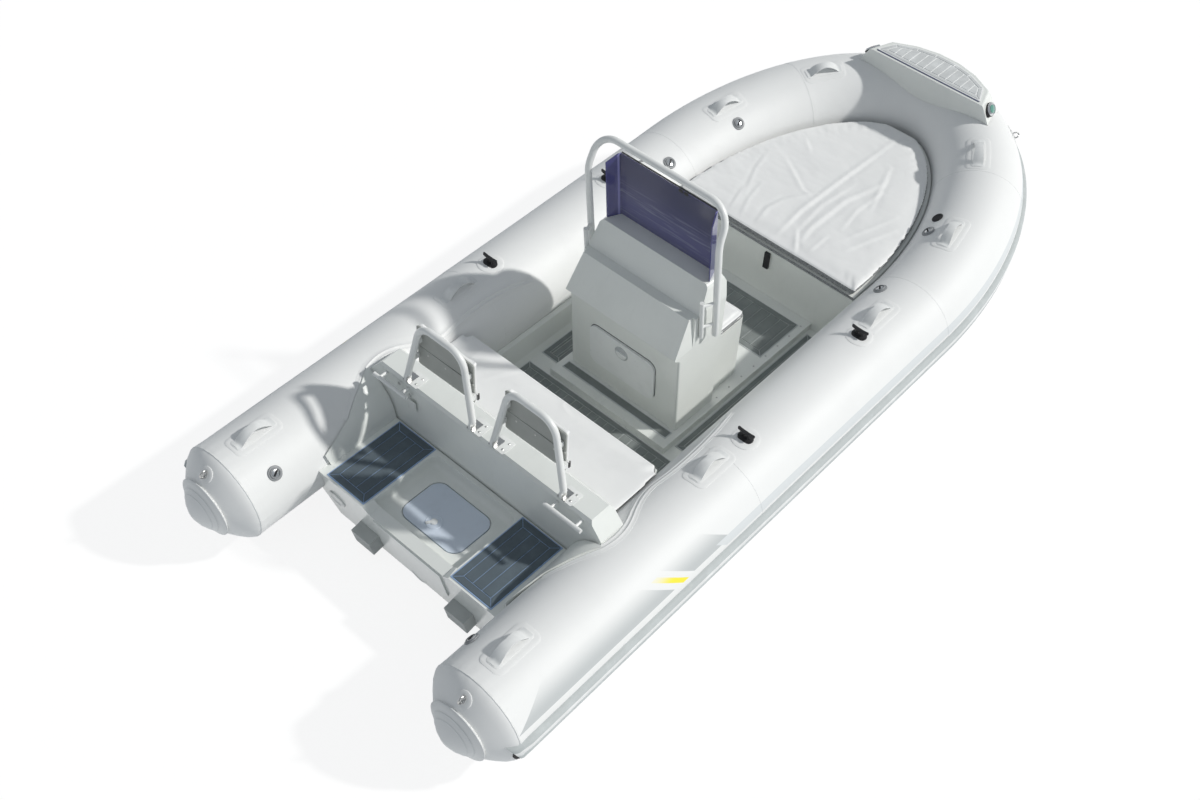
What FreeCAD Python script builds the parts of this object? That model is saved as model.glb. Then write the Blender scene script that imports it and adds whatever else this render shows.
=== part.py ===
import FreeCAD, Part
import math
import os
import Sketcher
from FreeCAD import Placement, Rotation, Vector

# Rigid inflatable boat with a moulded hull, a centre console and three lockers.
# Millimetres. X forward, Y to port, Z up.
# The origin is on the centreline at the waterline, below the top edge of the transom.

os.makedirs("parts", exist_ok=True)
doc = FreeCAD.newDocument("boat")
sheet = doc.addObject("Spreadsheet::Sheet", "sheet")

SIZES = {
    # buoyancy tube
    "tube_radius": 240,
    "tube_offset": 790,
    "seam_x": -333,
    "seam_z": 326,
    "joint_x": 2640,
    "joint_z": 400,
    "bow_reach": 1339,
    "bow_rise": 110,
    "cone_length": 187,
    "cone_bead_at": 117,
    "cone_bead_radius": 132,
    "bead_thick": 9,
    "strake_thick": 20,
    "strake_half_angle": 11,
    # clearances
    "seat_gap": 0.3,
    "move_gap": 6,
    "pin_gap": 0.1,
    # hull
    "hull_aft_x": 60,
    "hull_top": 100,
    "keel_z": -190,
    "chine_y": 520,
    "chine_z": -5,
    "chine_flat": 28,
    "flange_y": 650,
    "entry_x": 1900,
    "stem_x": 3990,
    "stem_z": 250,
    "flare": 120,
    "shoulder_z": 200,
    "form_top_z": 600,
    # transom
    "transom_z": 380,
    "transom_rake": 12,
    "transom_thick": 60,
    "transom_half": 620,
    "well_half": 262,
    "well_drop": 40,
    # aft well
    "step_z": 377,
    "well_floor_z": 315,
    "coaming_thick": 12,
    "well_corner": 45,
    "well_cove": 30,
    "lid_corner": 55,
    "bin_aft_x": 140,
    "bin_fore_x": 352,
    "bin_half": 160,
    "bin_floor_z": 125,
    "lid_thick": 12,
    "lid_rim": 18,
    # stern beam
    "beam_aft_x": 452,
    "beam_lean": 14,
    "beam_top_z": 663,
    "beam_fore_x": 600,
    "beam_top_half": 632,
    "beam_end_half": 706,
    "beam_end_z": 575,
    "foot_half": 616,
    "foot_z": 240,
    # sole
    "sole_z": 150,
    "plinth_z": 190,
    "plinth_aft_x": 1295,
    "plinth_half": 368,
    "curb_y": 503,
    "curb_foot": 34,
    "curb_top_z": 300,
    # rear seat
    "seat_fore_x": 985,
    "seat_top_z": 481,
    "seat_half": 640,
    "seat_straight": 570,
    "seat_corner_x": 950,
    "seat_corner_y": 591,
    "seat_hold_half": 485,
    "wall": 15,
    "cushion_thick": 38,
    "lid_plate": 12,
    # bow locker
    "bulkhead_x": 2457,
    "locker_top_z": 485,
    "locker_floor_z": 160,
    "locker_fore_x": 3720,
    "locker_open_aft": 2530,
    "locker_open_fore": 3480,
    "locker_open_half_aft": 470,
    "locker_open_half_fore": 270,
    "bow_lid_fore_x": 3700,
    "bow_lid_nose_half": 195,
    "bow_lid_plate": 15,
    "bow_cushion_thick": 45,
    "cushion_gap": 22,
    # console
    "console_aft_x": 1415,
    "console_half": 335,
    "console_lean": 30,
    "dash_foot_z": 690,
    "dash_lip_x": 1352,
    "dash_lip_z": 717,
    "dash_shelf_x": 1448,
    "dash_shelf_z": 898,
    "dash_shelf_depth": 52,
    "dash_top_x": 1563,
    "dash_top_z": 1034,
    "console_fore_x": 1690,
    "dash_taper": 18,
    "dash_corner": 26,
    "console_corner": 12,
    "hatch_half": 200,
    "hatch_low_z": 310,
    "hatch_high_z": 565,
    "hatch_corner": 45,
    "hatch_ledge": 22,
    "hatch_plate": 12,
    # forward seat
    "fore_seat_x": 1930,
    "fore_seat_half": 300,
    "fore_seat_top_z": 560,
    "fore_seat_corner": 30,
    # windscreen
    "screen_thick": 6,
    "screen_foot_x": 1655,
    "screen_top_x": 1622,
    "screen_top_z": 1403,
    "screen_half": 276,
    "screen_wing_x": 1585,
    "screen_wing_half": 306,
    "screen_wing_drop": 42,
    # handrail
    "rail_radius": 16,
    "rail_half": 375,
    "rail_foot_x": 1580,
    "rail_foot_z": 760,
    "rail_bend_x": 1520,
    "rail_bend_z": 1330,
    "rail_top_x": 1580,
    "rail_top_z": 1492,
    "rail_corner": 108,
    "rail_bar_low_z": 767,
    "rail_bar_high_z": 997,
    "rail_bar_radius": 11,
    # backrests
    "hoop_radius": 16,
    "hoop_foot_x": 484,
    "hoop_top_x": 506,
    "hoop_inner_y": 66,
    "hoop_outer_y": 470,
    "hoop_splay_in": 70,
    "hoop_splay_out": 78,
    "hoop_foot_z": 703,
    "hoop_top_z": 1045,
    "hoop_corner": 92,
    "pivot_x": 474,
    "pivot_z": 686,
    "pivot_radius": 5,
    "pad_aft_x": 524,
    "pad_fore_x": 564,
    "pad_low_z": 766,
    "pad_high_z": 1004,
    "pad_middle_y": 266,
    "pad_half": 175,
    # deck pads
    "pad_thick": 5,
    "brick_width": 106,
    "brick_margin": 9,
    "toe_width": 50,
    "toe_margin": 20,
    # bow chock
    "chock_top_z": 830,
    "chock_inner_x": 3810,
    "chock_outer_x": 4046,
    "chock_shoulder_x": 3950,
    "chock_inner_half": 360,
    "chock_outer_half": 310,
    "chock_depth": 200,
    "chock_flare": 30,
    "chock_edge": 10,
    "lamp_at": 60,
    "lamp_drop": 58,
    "lamp_radius": 26,
    # fittings
    "patch_sink": 7,
    "patch_thick": 3,
    "handle_length": 158,
    "handle_rise": 46,
    "handle_thick": 7,
    "handle_width": 34,
    "valve_radius": 24,
    "ring_radius": 24,
    "ring_wire": 4,
    "ring_share": 0.898,
    "ring_lift": 24,
    "cleat_patch": 42,
    "cleat_rise": 34,
    "cleat_stem": 9,
    "cleat_horn": 46,
    "eye_patch": 36,
    "eye_radius": 20,
    "eye_wire": 5,
    "eye_share": 0.6,
    "clamp_half": 210,
    "clamp_top": 52,
    "clamp_foot": 310,
    "clamp_thick": 8,
}

# Where the fittings stand on the tubes: share of the way from the cone's seam to the bow,
# and degrees up from level, measured on the outer side.
HANDLE_PLACES = ((0.0448, 92), (0.3288, 94), (0.6164, 94), (0.7834, 98), (0.9202, 100))
VALVE_PLACES = ((0.0350, 140), (0.6596, 120), (0.7834, 128))
CLEAT_PLACES = (0.3822, 0.5786)

for row, (alias, number) in enumerate(SIZES.items(), start=1):
    sheet.set("A%d" % row, alias.replace("_", " "))
    sheet.set("B%d" % row, str(number))
    sheet.setAlias("B%d" % row, alias)
doc.recompute()


class Size:
    """A value of the sheet, or a formula made of such values."""

    def __init__(self, number, formula):
        self.number = float(number)
        self.formula = formula

    def __add__(self, other):
        other = as_size(other)
        return Size(self.number + other.number, "(%s + %s)" % (self.formula, other.formula))

    def __sub__(self, other):
        other = as_size(other)
        return Size(self.number - other.number, "(%s - %s)" % (self.formula, other.formula))

    def __rsub__(self, other):
        return as_size(other) - self

    def __mul__(self, other):
        other = as_size(other)
        return Size(self.number * other.number, "(%s * %s)" % (self.formula, other.formula))

    def __truediv__(self, other):
        other = as_size(other)
        return Size(self.number / other.number, "(%s / %s)" % (self.formula, other.formula))

    def __neg__(self):
        return Size(-self.number, "(0 - %s)" % self.formula)

    __radd__ = __add__
    __rmul__ = __mul__


def as_size(value):
    if isinstance(value, Size):
        return value
    return Size(value, repr(float(value)))


class Names:
    """Gives each sheet value by its name."""

    def __getattr__(self, alias):
        return Size(SIZES[alias], "sheet." + alias)


v = Names()
labels = []


def bind(thing, prop, size):
    size = as_size(size)
    thing.setExpression(prop, size.formula)


def keep(thing, label):
    """Marks an object as a sub-part of the boat."""
    thing.Label = label
    labels.append((label, thing))
    return thing


def new_body(name):
    return doc.addObject("PartDesign::Body", name)


def plane_of(body, role):
    for feature in body.Origin.OriginFeatures:
        if feature.Role == role:
            return feature
    raise ValueError(role)


def sketch_on(body, role, offset=0):
    sketch = body.newObject("Sketcher::SketchObject", "sketch")
    sketch.AttachmentSupport = [(plane_of(body, role), "")]
    sketch.MapMode = "FlatFace"
    size = as_size(offset)
    sign = -1 if role == "XZ_Plane" else 1
    sketch.AttachmentOffset = Placement(Vector(0, 0, sign * size.number), Rotation())
    bind(sketch, "AttachmentOffset.Base.z", size * sign)
    return sketch


def outline(sketch, points):
    """Adds a closed outline of straight edges, with each corner bound to its two sizes."""
    points = [(as_size(a), as_size(b)) for a, b in points]
    first = sketch.GeometryCount
    count = len(points)
    for i in range(count):
        a = points[i]
        b = points[(i + 1) % count]
        start = Vector(a[0].number, a[1].number, 0)
        end = Vector(b[0].number, b[1].number, 0)
        sketch.addGeometry(Part.LineSegment(start, end), False)
    for i in range(count):
        here = first + i
        after = first + (i + 1) % count
        sketch.addConstraint(Sketcher.Constraint("Coincident", here, 2, after, 1))
    for i, (across, up) in enumerate(points):
        n = sketch.addConstraint(Sketcher.Constraint("DistanceX", -1, 1, first + i, 1, across.number))
        bind(sketch, "Constraints[%d]" % n, across)
        n = sketch.addConstraint(Sketcher.Constraint("DistanceY", -1, 1, first + i, 1, up.number))
        bind(sketch, "Constraints[%d]" % n, up)
    return sketch


def disc(sketch, across, up, radius):
    across, up, radius = as_size(across), as_size(up), as_size(radius)
    centre = Vector(across.number, up.number, 0)
    g = sketch.addGeometry(Part.Circle(centre, Vector(0, 0, 1), radius.number), False)
    for kind, size in (("DistanceX", across), ("DistanceY", up)):
        n = sketch.addConstraint(Sketcher.Constraint(kind, -1, 1, g, 3, size.number))
        bind(sketch, "Constraints[%d]" % n, size)
    n = sketch.addConstraint(Sketcher.Constraint("Radius", g, radius.number))
    bind(sketch, "Constraints[%d]" % n, radius)
    return sketch


def both_sides(points):
    """Mirrors a half outline, given from the centreline outwards, about the centreline."""
    return points + [(-as_size(a), b) for a, b in reversed(points) if as_size(a).number != 0]


def slab(low_x, high_x, half):
    return [(low_x, -as_size(half)), (high_x, -as_size(half)), (high_x, half), (low_x, half)]


def pad(body, sketch, length, midplane=False, down=False):
    feature = body.newObject("PartDesign::Pad", "pad")
    feature.Profile = sketch
    feature.Length = as_size(length).number
    bind(feature, "Length", length)
    feature.Midplane = midplane
    feature.Reversed = down
    return feature


def pocket(body, sketch, length, midplane=False, up=False):
    feature = body.newObject("PartDesign::Pocket", "pocket")
    feature.Profile = sketch
    feature.Length = as_size(length).number
    bind(feature, "Length", length)
    feature.Midplane = midplane
    feature.Reversed = up
    return feature


def cut(base, *tools):
    for tool in tools:
        piece = doc.addObject("Part::Cut", "cut")
        piece.Base = base
        piece.Tool = tool
        base = piece
    return base


def fuse(*things):
    piece = doc.addObject("Part::MultiFuse", "fuse")
    piece.Shapes = list(things)
    return piece


def gather(label, shapes):
    """Makes one sub-part of several solids that do not touch."""
    feature = doc.addObject("Part::Feature", label)
    feature.Shape = Part.makeCompound(shapes)
    return feature


def edges_where(shape, test):
    return ["Edge%d" % (i + 1) for i, edge in enumerate(shape.Edges) if test(edge)]


def round_edges(body, radius, test):
    """Fillets the edges of a body that pass the test."""
    doc.recompute()
    base = body.Tip
    fillet = body.newObject("PartDesign::Fillet", "fillet")
    fillet.Base = (base, edges_where(base.Shape, test))
    fillet.Radius = as_size(radius).number
    bind(fillet, "Radius", radius)
    body.Tip = fillet
    return fillet


def upright(edge):
    """True for a straight edge that runs along Z."""
    if edge.Curve.TypeId != "Part::GeomLine":
        return False
    return abs(edge.tangentAt(edge.FirstParameter).z) > 0.999


def mid(edge):
    return edge.valueAt((edge.FirstParameter + edge.LastParameter) / 2)


def wire_through(points, radii):
    """A path of straight runs joined by tangent arcs, one radius for each inner corner."""
    parts = []
    last = points[0]
    for i in range(1, len(points) - 1):
        corner = points[i]
        back = (points[i - 1] - corner).normalize()
        ahead = (points[i + 1] - corner).normalize()
        angle = back.getAngle(ahead)
        reach = radii[i - 1] / math.tan(angle / 2)
        start = corner + back * reach
        end = corner + ahead * reach
        bisector = (back + ahead).normalize()
        middle = corner + bisector * (radii[i - 1] / math.sin(angle / 2) - radii[i - 1])
        parts.append(Part.LineSegment(last, start).toShape())
        parts.append(Part.Arc(start, middle, end).toShape())
        last = end
    parts.append(Part.LineSegment(last, points[-1]).toShape())
    return Part.Wire(parts)


def pipe(name, points, radii, size):
    """A round bar swept along a path of straight runs and arcs."""
    path = doc.addObject("Part::Feature", name + "_path")
    path.Shape = wire_through(points, radii)
    ring = doc.addObject("Part::Circle", name + "_ring")
    ring.Radius = as_size(size).number
    bind(ring, "Radius", size)
    ring.Placement = Placement(points[0], Rotation(Vector(0, 0, 1), points[1] - points[0]))
    sweep = doc.addObject("Part::Sweep", name)
    sweep.Sections = [ring]
    sweep.Spine = (path, ["Edge%d" % (i + 1) for i in range(len(path.Shape.Edges))])
    sweep.Solid = True
    sweep.Frenet = False
    return sweep


# Buoyancy tube.
n = SIZES
straight_tilt = math.degrees(math.atan2(n["joint_z"] - n["seam_z"], n["joint_x"] - n["seam_x"]))
bow_tilt = math.degrees(math.atan2(n["bow_rise"], n["bow_reach"]))
bow_major = math.hypot(n["bow_rise"], n["bow_reach"])
ALONG = Rotation(Vector(0, 1, 0), 90)


def tilted(x, y, z, degrees):
    """A placement whose own Z axis runs forward and climbs by so many degrees."""
    return Placement(Vector(x, y, z), Rotation(Vector(0, 1, 0), 90 - degrees))


def bow_spine(name):
    spine = doc.addObject("Part::Ellipse", name)
    spine.MajorRadius = bow_major
    spine.MinorRadius = n["tube_offset"]
    spine.setExpression("MajorRadius", "sqrt(sheet.bow_reach ^ 2 + sheet.bow_rise ^ 2)")
    bind(spine, "MinorRadius", v.tube_offset)
    spine.Angle1 = 270
    spine.Angle2 = 90
    spine.Placement = Placement(Vector(n["joint_x"], 0, n["joint_z"]),
                                Rotation(Vector(0, 1, 0), -bow_tilt))
    return spine


def tube_side(name, side, radius, overrun=0):
    """The straight run of the tube on one side, from the cone's seam to the bow joint."""
    rings = []
    for x, z, tilt in ((n["seam_x"] - overrun, n["seam_z"], straight_tilt),
                       (n["joint_x"], n["joint_z"], bow_tilt)):
        ring = doc.addObject("Part::Circle", name + "_ring")
        ring.Radius = as_size(radius).number
        bind(ring, "Radius", radius)
        ring.Placement = tilted(x, side * n["tube_offset"], z, tilt)
        rings.append(ring)
    loft = doc.addObject("Part::Loft", name)
    loft.Sections = rings
    loft.Solid = True
    loft.Ruled = True
    return loft


def tube_round(name, radius):
    """The run of the tube around the bow, along half an ellipse."""
    ring = doc.addObject("Part::Circle", name + "_ring")
    ring.Radius = as_size(radius).number
    bind(ring, "Radius", radius)
    ring.Placement = tilted(n["joint_x"], -n["tube_offset"], n["joint_z"], bow_tilt)
    sweep = doc.addObject("Part::Sweep", name)
    sweep.Sections = [ring]
    sweep.Spine = (bow_spine(name + "_spine"), ["Edge1"])
    sweep.Solid = True
    sweep.Frenet = True
    return sweep


tube_port = keep(tube_side("tube_port", 1, v.tube_radius), "tube_port")
tube_starboard = keep(tube_side("tube_starboard", -1, v.tube_radius), "tube_starboard")
tube_bow = keep(tube_round("tube_bow", v.tube_radius), "tube_bow")

seat = v.tube_radius + v.seat_gap
space_port = tube_side("space_port", 1, seat)
space_starboard = tube_side("space_starboard", -1, seat)
space_bow = tube_round("space_bow", seat)
SPACES = (space_port, space_starboard, space_bow)
SIDES = (space_port, space_starboard)

roomy = v.tube_radius + v.move_gap
room_port = tube_side("room_port", 1, roomy)
room_starboard = tube_side("room_starboard", -1, roomy)
room_bow = tube_round("room_bow", roomy)
ROOMS = (room_port, room_starboard, room_bow)


# Stern cones: a domed cone with a moulded bead ring near its tip.
def cone(label, side):
    body = new_body(label + "_body")
    sketch = body.newObject("Sketcher::SketchObject", "profile")
    sketch.AttachmentSupport = [(plane_of(body, "XZ_Plane"), "")]
    sketch.MapMode = "FlatFace"
    full = v.tube_radius
    at = v.cone_bead_at
    bead = v.cone_bead_radius
    steps = [
        (0, 0),
        (0, full),
        (at * 0.10, full * 0.985),
        (at * 0.30, full * 0.925),
        (at * 0.55, full * 0.81),
        (at * 0.80, full * 0.67),
        (at - v.bead_thick, bead + v.bead_thick * 1.2),
        (at - v.bead_thick * 0.5, bead + v.bead_thick * 1.9),
        (at + v.bead_thick * 0.5, bead + v.bead_thick * 1.2),
        (at + v.bead_thick, bead - v.bead_thick * 0.6),
        (at + (v.cone_length - at) * 0.42, bead * 0.76),
        (at + (v.cone_length - at) * 0.72, bead * 0.52),
        (at + (v.cone_length - at) * 0.92, bead * 0.25),
        (v.cone_length, 0),
    ]
    outline(sketch, steps)
    turn = body.newObject("PartDesign::Revolution", "turn")
    turn.Profile = sketch
    turn.ReferenceAxis = (sketch, ["H_Axis"])
    turn.Angle = 360
    body.Placement = Placement(
        Vector(n["seam_x"], side * n["tube_offset"], n["seam_z"]),
        Rotation(Vector(0, 0, 1), 180) * Rotation(Vector(0, 1, 0), straight_tilt))
    return keep(body, label)


cone("cone_port", 1)
cone("cone_starboard", -1)


# Rub strake: a ribbed band around the outside of the tube, cut close to its surface.
def strake_section(name, placement, outward):
    """Cross-section of the strake, outside the tube, in the plane of the tube's ring."""
    inner = n["tube_radius"] + n["seat_gap"]
    outer = n["tube_radius"] + n["strake_thick"]
    half = math.radians(n["strake_half_angle"])
    shape = [(inner, -half), (inner + 6, -half), (outer, -half * 0.72), (outer, -half * 0.28),
             (outer - 6, -half * 0.16), (outer - 6, half * 0.16), (outer, half * 0.28),
             (outer, half * 0.72), (inner + 6, half), (inner, half)]
    points = [Vector(0, outward * r * math.cos(a), 0) + Vector(-r * math.sin(a), 0, 0)
              for r, a in shape]
    edges = [Part.LineSegment(a, b).toShape() for a, b in zip(points, points[1:])]
    bottom = Vector(0, outward * inner, 0)
    edges.append(Part.Arc(points[-1], bottom, points[0]).toShape())
    section = doc.addObject("Part::Feature", name)
    section.Shape = Part.Wire(edges)
    section.Placement = placement
    return section


def strake_side(label, side):
    ends = []
    for x, z, tilt in ((n["seam_x"], n["seam_z"], straight_tilt),
                       (n["joint_x"], n["joint_z"], bow_tilt)):
        place = tilted(x, side * n["tube_offset"], z, tilt)
        ends.append(strake_section(label + "_end", place, side))
    loft = doc.addObject("Part::Loft", label)
    loft.Sections = ends
    loft.Solid = True
    loft.Ruled = True
    return keep(loft, label)


strake_side("rub_strake_port", 1)
strake_side("rub_strake_starboard", -1)
start = tilted(n["joint_x"], -n["tube_offset"], n["joint_z"], bow_tilt)
strake_bow = doc.addObject("Part::Sweep", "rub_strake_bow")
strake_bow.Sections = [strake_section("strake_bow_end", start, -1)]
strake_bow.Spine = (bow_spine("strake_spine"), ["Edge1"])
strake_bow.Solid = True
strake_bow.Frenet = True
keep(strake_bow, "rub_strake_bow")


def on_tube(x, side, lift, out=0.0):
    """Frame on the tube: origin on its surface, X along it, Z straight out.

    x is where the ring's centre lies, lift is the angle up from level, measured on the
    outer side, so that 90 is the top and more than 90 is towards the cockpit.
    """
    if x <= n["joint_x"]:
        share = (x - n["seam_x"]) / (n["joint_x"] - n["seam_x"])
        centre = Vector(x, side * n["tube_offset"],
                        n["seam_z"] + share * (n["joint_z"] - n["seam_z"]))
        ahead = Vector(1, 0, math.tan(math.radians(straight_tilt))).normalize()
    else:
        share = min((x - n["joint_x"]) / n["bow_reach"], 1.0)
        angle = math.asin(share)
        centre = Vector(x, side * n["tube_offset"] * math.cos(angle),
                        n["joint_z"] + share * n["bow_rise"])
        ahead = Vector(n["bow_reach"] * math.cos(angle), -side * n["tube_offset"] * math.sin(angle),
                       n["bow_rise"] * math.cos(angle)).normalize()
    level = Vector(0, 0, 1).cross(ahead).normalize() * side
    top = ahead.cross(level * side).normalize()
    turn = math.radians(lift)
    normal = level * math.cos(turn) + top * math.sin(turn)
    across = normal.cross(ahead)
    matrix = FreeCAD.Matrix(ahead.x, across.x, normal.x, 0, ahead.y, across.y, normal.y, 0,
                            ahead.z, across.z, normal.z, 0, 0, 0, 0, 1)
    place = Placement(matrix)
    place.Base = centre + normal * (n["tube_radius"] + out)
    return place


# Transom.
transom_body = new_body("transom_body")
profile = sketch_on(transom_body, "YZ_Plane")
outline(profile, both_sides([
    (v.well_half - 30, -v.well_drop),
    (v.well_half + 12, 0),
    (v.transom_half, 0),
    (v.transom_half, -(v.transom_z * 0.5)),
    (v.chine_y + v.chine_flat, -(v.transom_z - v.chine_z) - 5),
    (v.chine_y, -(v.transom_z - v.chine_z) - 12),
    (0, -(v.transom_z - v.keel_z) * 1.022),
]))
pad(transom_body, profile, v.transom_thick)
clamp_plan = sketch_on(transom_body, "YZ_Plane")
outline(clamp_plan, both_sides([
    (v.clamp_half, -v.clamp_top),
    (v.clamp_half, -(v.clamp_foot - 60)),
    (v.clamp_half - 60, -v.clamp_foot),
]))
pad(transom_body, clamp_plan, v.clamp_thick, down=True)
transom_body.Placement = Placement(Vector(0, 0, n["transom_z"]),
                                   Rotation(Vector(0, 1, 0), -n["transom_rake"]))
bind(transom_body, "Placement.Base.z", v.transom_z)
over_step = doc.addObject("Part::Box", "over_step")
over_step.Length = 200
over_step.Width = 2000
over_step.Height = 100
over_step.Placement = Placement(Vector(-50, -1000, n["step_z"]), Rotation())
bind(over_step, "Placement.Base.z", v.step_z)
transom = keep(cut(transom_body, over_step, *SIDES), "transom")

# The space that the transom takes, and all behind it, which the mouldings in front stop at.
behind = doc.addObject("Part::Box", "behind")
behind.Length = 600
behind.Width = 2000
behind.Height = 2000
bind(behind, "Length", v.transom_thick + v.seat_gap + 500)
turned = Rotation(Vector(0, 1, 0), -n["transom_rake"])
behind.Placement = Placement(Vector(0, 0, n["transom_z"]) + turned.multVec(Vector(-500, -1000, -1000)),
                             turned)

# Hull.
form_body = new_body("form_body")


def power(share, exponent):
    """A share of the run to the stem, raised to a power."""
    return Size(share ** exponent, "(%r ^ %r)" % (share, exponent))


sections = []
for share in (0, 0.16, 0.30, 0.42, 0.54, 0.65, 0.75, 0.84, 0.92, 1):
    place = v.entry_x + (v.stem_x - v.entry_x) * share
    keel = v.keel_z + (v.stem_z - v.keel_z) * power(share, 2.4)
    chine = v.chine_z + (v.stem_z + 15 - v.chine_z) * power(share, 2.2)
    breadth = v.chine_y - (v.chine_y - 16) * power(share, 2.6)
    section = sketch_on(form_body, "YZ_Plane", place)
    outline(section, both_sides([
        (0, keel),
        (breadth, chine),
        (breadth + v.chine_flat, chine + 8),
        (breadth + v.flare, v.shoulder_z + 90 * share),
        (breadth + v.flare + 50, v.form_top_z),
        (0, v.form_top_z),
    ]))
    sections.append(section)
skin = form_body.newObject("PartDesign::AdditiveLoft", "skin")
skin.Profile = sections[0]
skin.Sections = sections[1:]
skin.Ruled = True
run = sketch_on(form_body, "YZ_Plane", v.hull_aft_x)
outline(run, both_sides([
    (0, v.keel_z),
    (v.chine_y, v.chine_z),
    (v.chine_y + v.chine_flat, v.chine_z + 8),
    (v.chine_y + v.flare, v.shoulder_z),
    (v.chine_y + v.flare + 50, v.form_top_z),
    (0, v.form_top_z),
]))
pad(form_body, run, v.entry_x - v.hull_aft_x)


def block(name, length, width, low, height, x=0):
    """A plain block across the boat, from x forward and from low upwards."""
    box = doc.addObject("Part::Box", name)
    for prop, size in (("Length", length), ("Width", width), ("Height", height)):
        setattr(box, prop, as_size(size).number)
        bind(box, prop, size)
    box.Placement = Placement(Vector(as_size(x).number, -as_size(width).number / 2,
                                     as_size(low).number), Rotation())
    bind(box, "Placement.Base.x", x)
    bind(box, "Placement.Base.y", as_size(width) * -0.5)
    bind(box, "Placement.Base.z", low)
    return box


inside = block("inside", v.locker_fore_x - 120, 2000, v.hull_top, 1000)
above = block("above", v.stem_x + 500, 2000, v.locker_top_z - 40, 1000)
hull = keep(cut(form_body, behind, inside, above, *SPACES), "hull")
solid_bow = block("solid_bow", 2000, 2000, 0, 1000, v.locker_fore_x - 120 - v.seat_gap)


def within_form(thing):
    """Keeps only what lies inside the hull's outer form."""
    piece = doc.addObject("Part::Common", "within")
    piece.Base = thing
    piece.Tool = form_body
    return piece


# Sole.
deck_body = new_body("deck_body")
base = sketch_on(deck_body, "XY_Plane", v.hull_top + v.seat_gap)
outline(base, slab(v.beam_aft_x, v.bulkhead_x - v.seat_gap, v.flange_y - 8))
pad(deck_body, base, v.sole_z - v.hull_top - v.seat_gap)
plinth = sketch_on(deck_body, "XY_Plane", v.sole_z - 1)
outline(plinth, slab(v.plinth_aft_x, v.bulkhead_x - v.seat_gap, v.plinth_half))
pad(deck_body, plinth, v.plinth_z - v.sole_z + 1)
for side in (1, -1):
    curb = sketch_on(deck_body, "YZ_Plane", v.seat_fore_x + v.seat_gap)
    outline(curb, [
        (v.curb_y * side, v.sole_z - 1),
        ((v.curb_y + v.curb_foot * 0.5) * side, v.sole_z + 30),
        ((v.curb_y + v.curb_foot) * side, v.curb_top_z - 12),
        ((v.curb_y + v.curb_foot + 16) * side, v.curb_top_z),
        ((v.flange_y - 8) * side, v.curb_top_z),
        ((v.flange_y - 8) * side, v.sole_z - 1),
    ])
    pad(deck_body, curb, v.bulkhead_x - v.seat_fore_x - v.seat_gap * 2)
deck = keep(cut(within_form(deck_body), *SIDES), "deck")

# Aft well.
well_body = new_body("well_body")
plan = sketch_on(well_body, "XY_Plane", v.hull_top + v.seat_gap)
outline(plan, slab(0, v.beam_aft_x - v.seat_gap, v.flange_y - 8))
pad(well_body, plan, v.step_z - v.hull_top - v.seat_gap)
hollow = sketch_on(well_body, "XY_Plane", v.step_z)
outline(hollow, slab(-50, v.beam_aft_x - 24, v.well_half))
pocket(well_body, hollow, v.step_z - v.well_floor_z)
round_edges(well_body, v.well_corner,
            lambda e: upright(e) and abs(abs(mid(e).y) - n["well_half"]) < 1 and mid(e).x > 100)
round_edges(well_body, v.well_cove,
            lambda e: abs(mid(e).z - n["well_floor_z"]) < 0.1 and abs(e.Vertexes[0].Z - e.Vertexes[-1].Z) < 0.1
            and mid(e).x > 10)
rebate = sketch_on(well_body, "XY_Plane", v.well_floor_z)
outline(rebate, slab(v.bin_aft_x - v.lid_rim - v.move_gap, v.bin_fore_x + v.lid_rim + v.move_gap,
                     v.bin_half + v.lid_rim + v.move_gap))
pocket(well_body, rebate, v.lid_thick)
round_edges(well_body, v.lid_corner + v.move_gap,
            lambda e: upright(e) and mid(e).z < n["well_floor_z"] and mid(e).z > n["bin_floor_z"]
            and abs(mid(e).y) < n["well_half"])
hold = sketch_on(well_body, "XY_Plane", v.well_floor_z - v.lid_thick)
outline(hold, slab(v.bin_aft_x, v.bin_fore_x, v.bin_half))
pocket(well_body, hold, v.well_floor_z - v.lid_thick - v.bin_floor_z)

# Each coaming is a skin that hugs the tube, from the step up to a flange that climbs forward.
FLANGE_LINE = ((0.044, 0.988), (0.265, 0.908), (0.509, 0.789), (0.657, 0.641), (0.832, 0.483),
               (0.936, 0.373), (1, 0.300))
coamings = []
for side, name in ((1, "port"), (-1, "starboard")):
    reach_body = new_body("coaming_reach")
    plan = sketch_on(reach_body, "XY_Plane", v.step_z - 1)
    edge = [((v.beam_aft_x - v.seat_gap) * along, (v.tube_offset - v.tube_radius * share) * side)
            for along, share in FLANGE_LINE]
    foot_y = (v.tube_offset - v.tube_radius - v.coaming_thick * 2) * side
    outline(plan, edge + [(v.beam_aft_x - v.seat_gap, foot_y), (v.beam_aft_x * 0.044, foot_y)])
    pad(reach_body, plan, v.tube_radius + v.move_gap)
    skin = doc.addObject("Part::Common", "coaming_" + name)
    skin.Base = tube_side("coaming_form", side, v.tube_radius + v.coaming_thick)
    skin.Tool = reach_body
    coamings.append(skin)
aft_well = keep(cut(fuse(within_form(well_body), *coamings), behind, *SIDES), "aft_well")

lid_body = new_body("well_hatch_body")
plate = sketch_on(lid_body, "XY_Plane", v.well_floor_z - v.lid_thick + v.seat_gap)
outline(plate, slab(v.bin_aft_x - v.lid_rim, v.bin_fore_x + v.lid_rim, v.bin_half + v.lid_rim))
pad(lid_body, plate, v.lid_thick)
round_edges(lid_body, v.lid_corner, upright)
keep(lid_body, "well_hatch")

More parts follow.
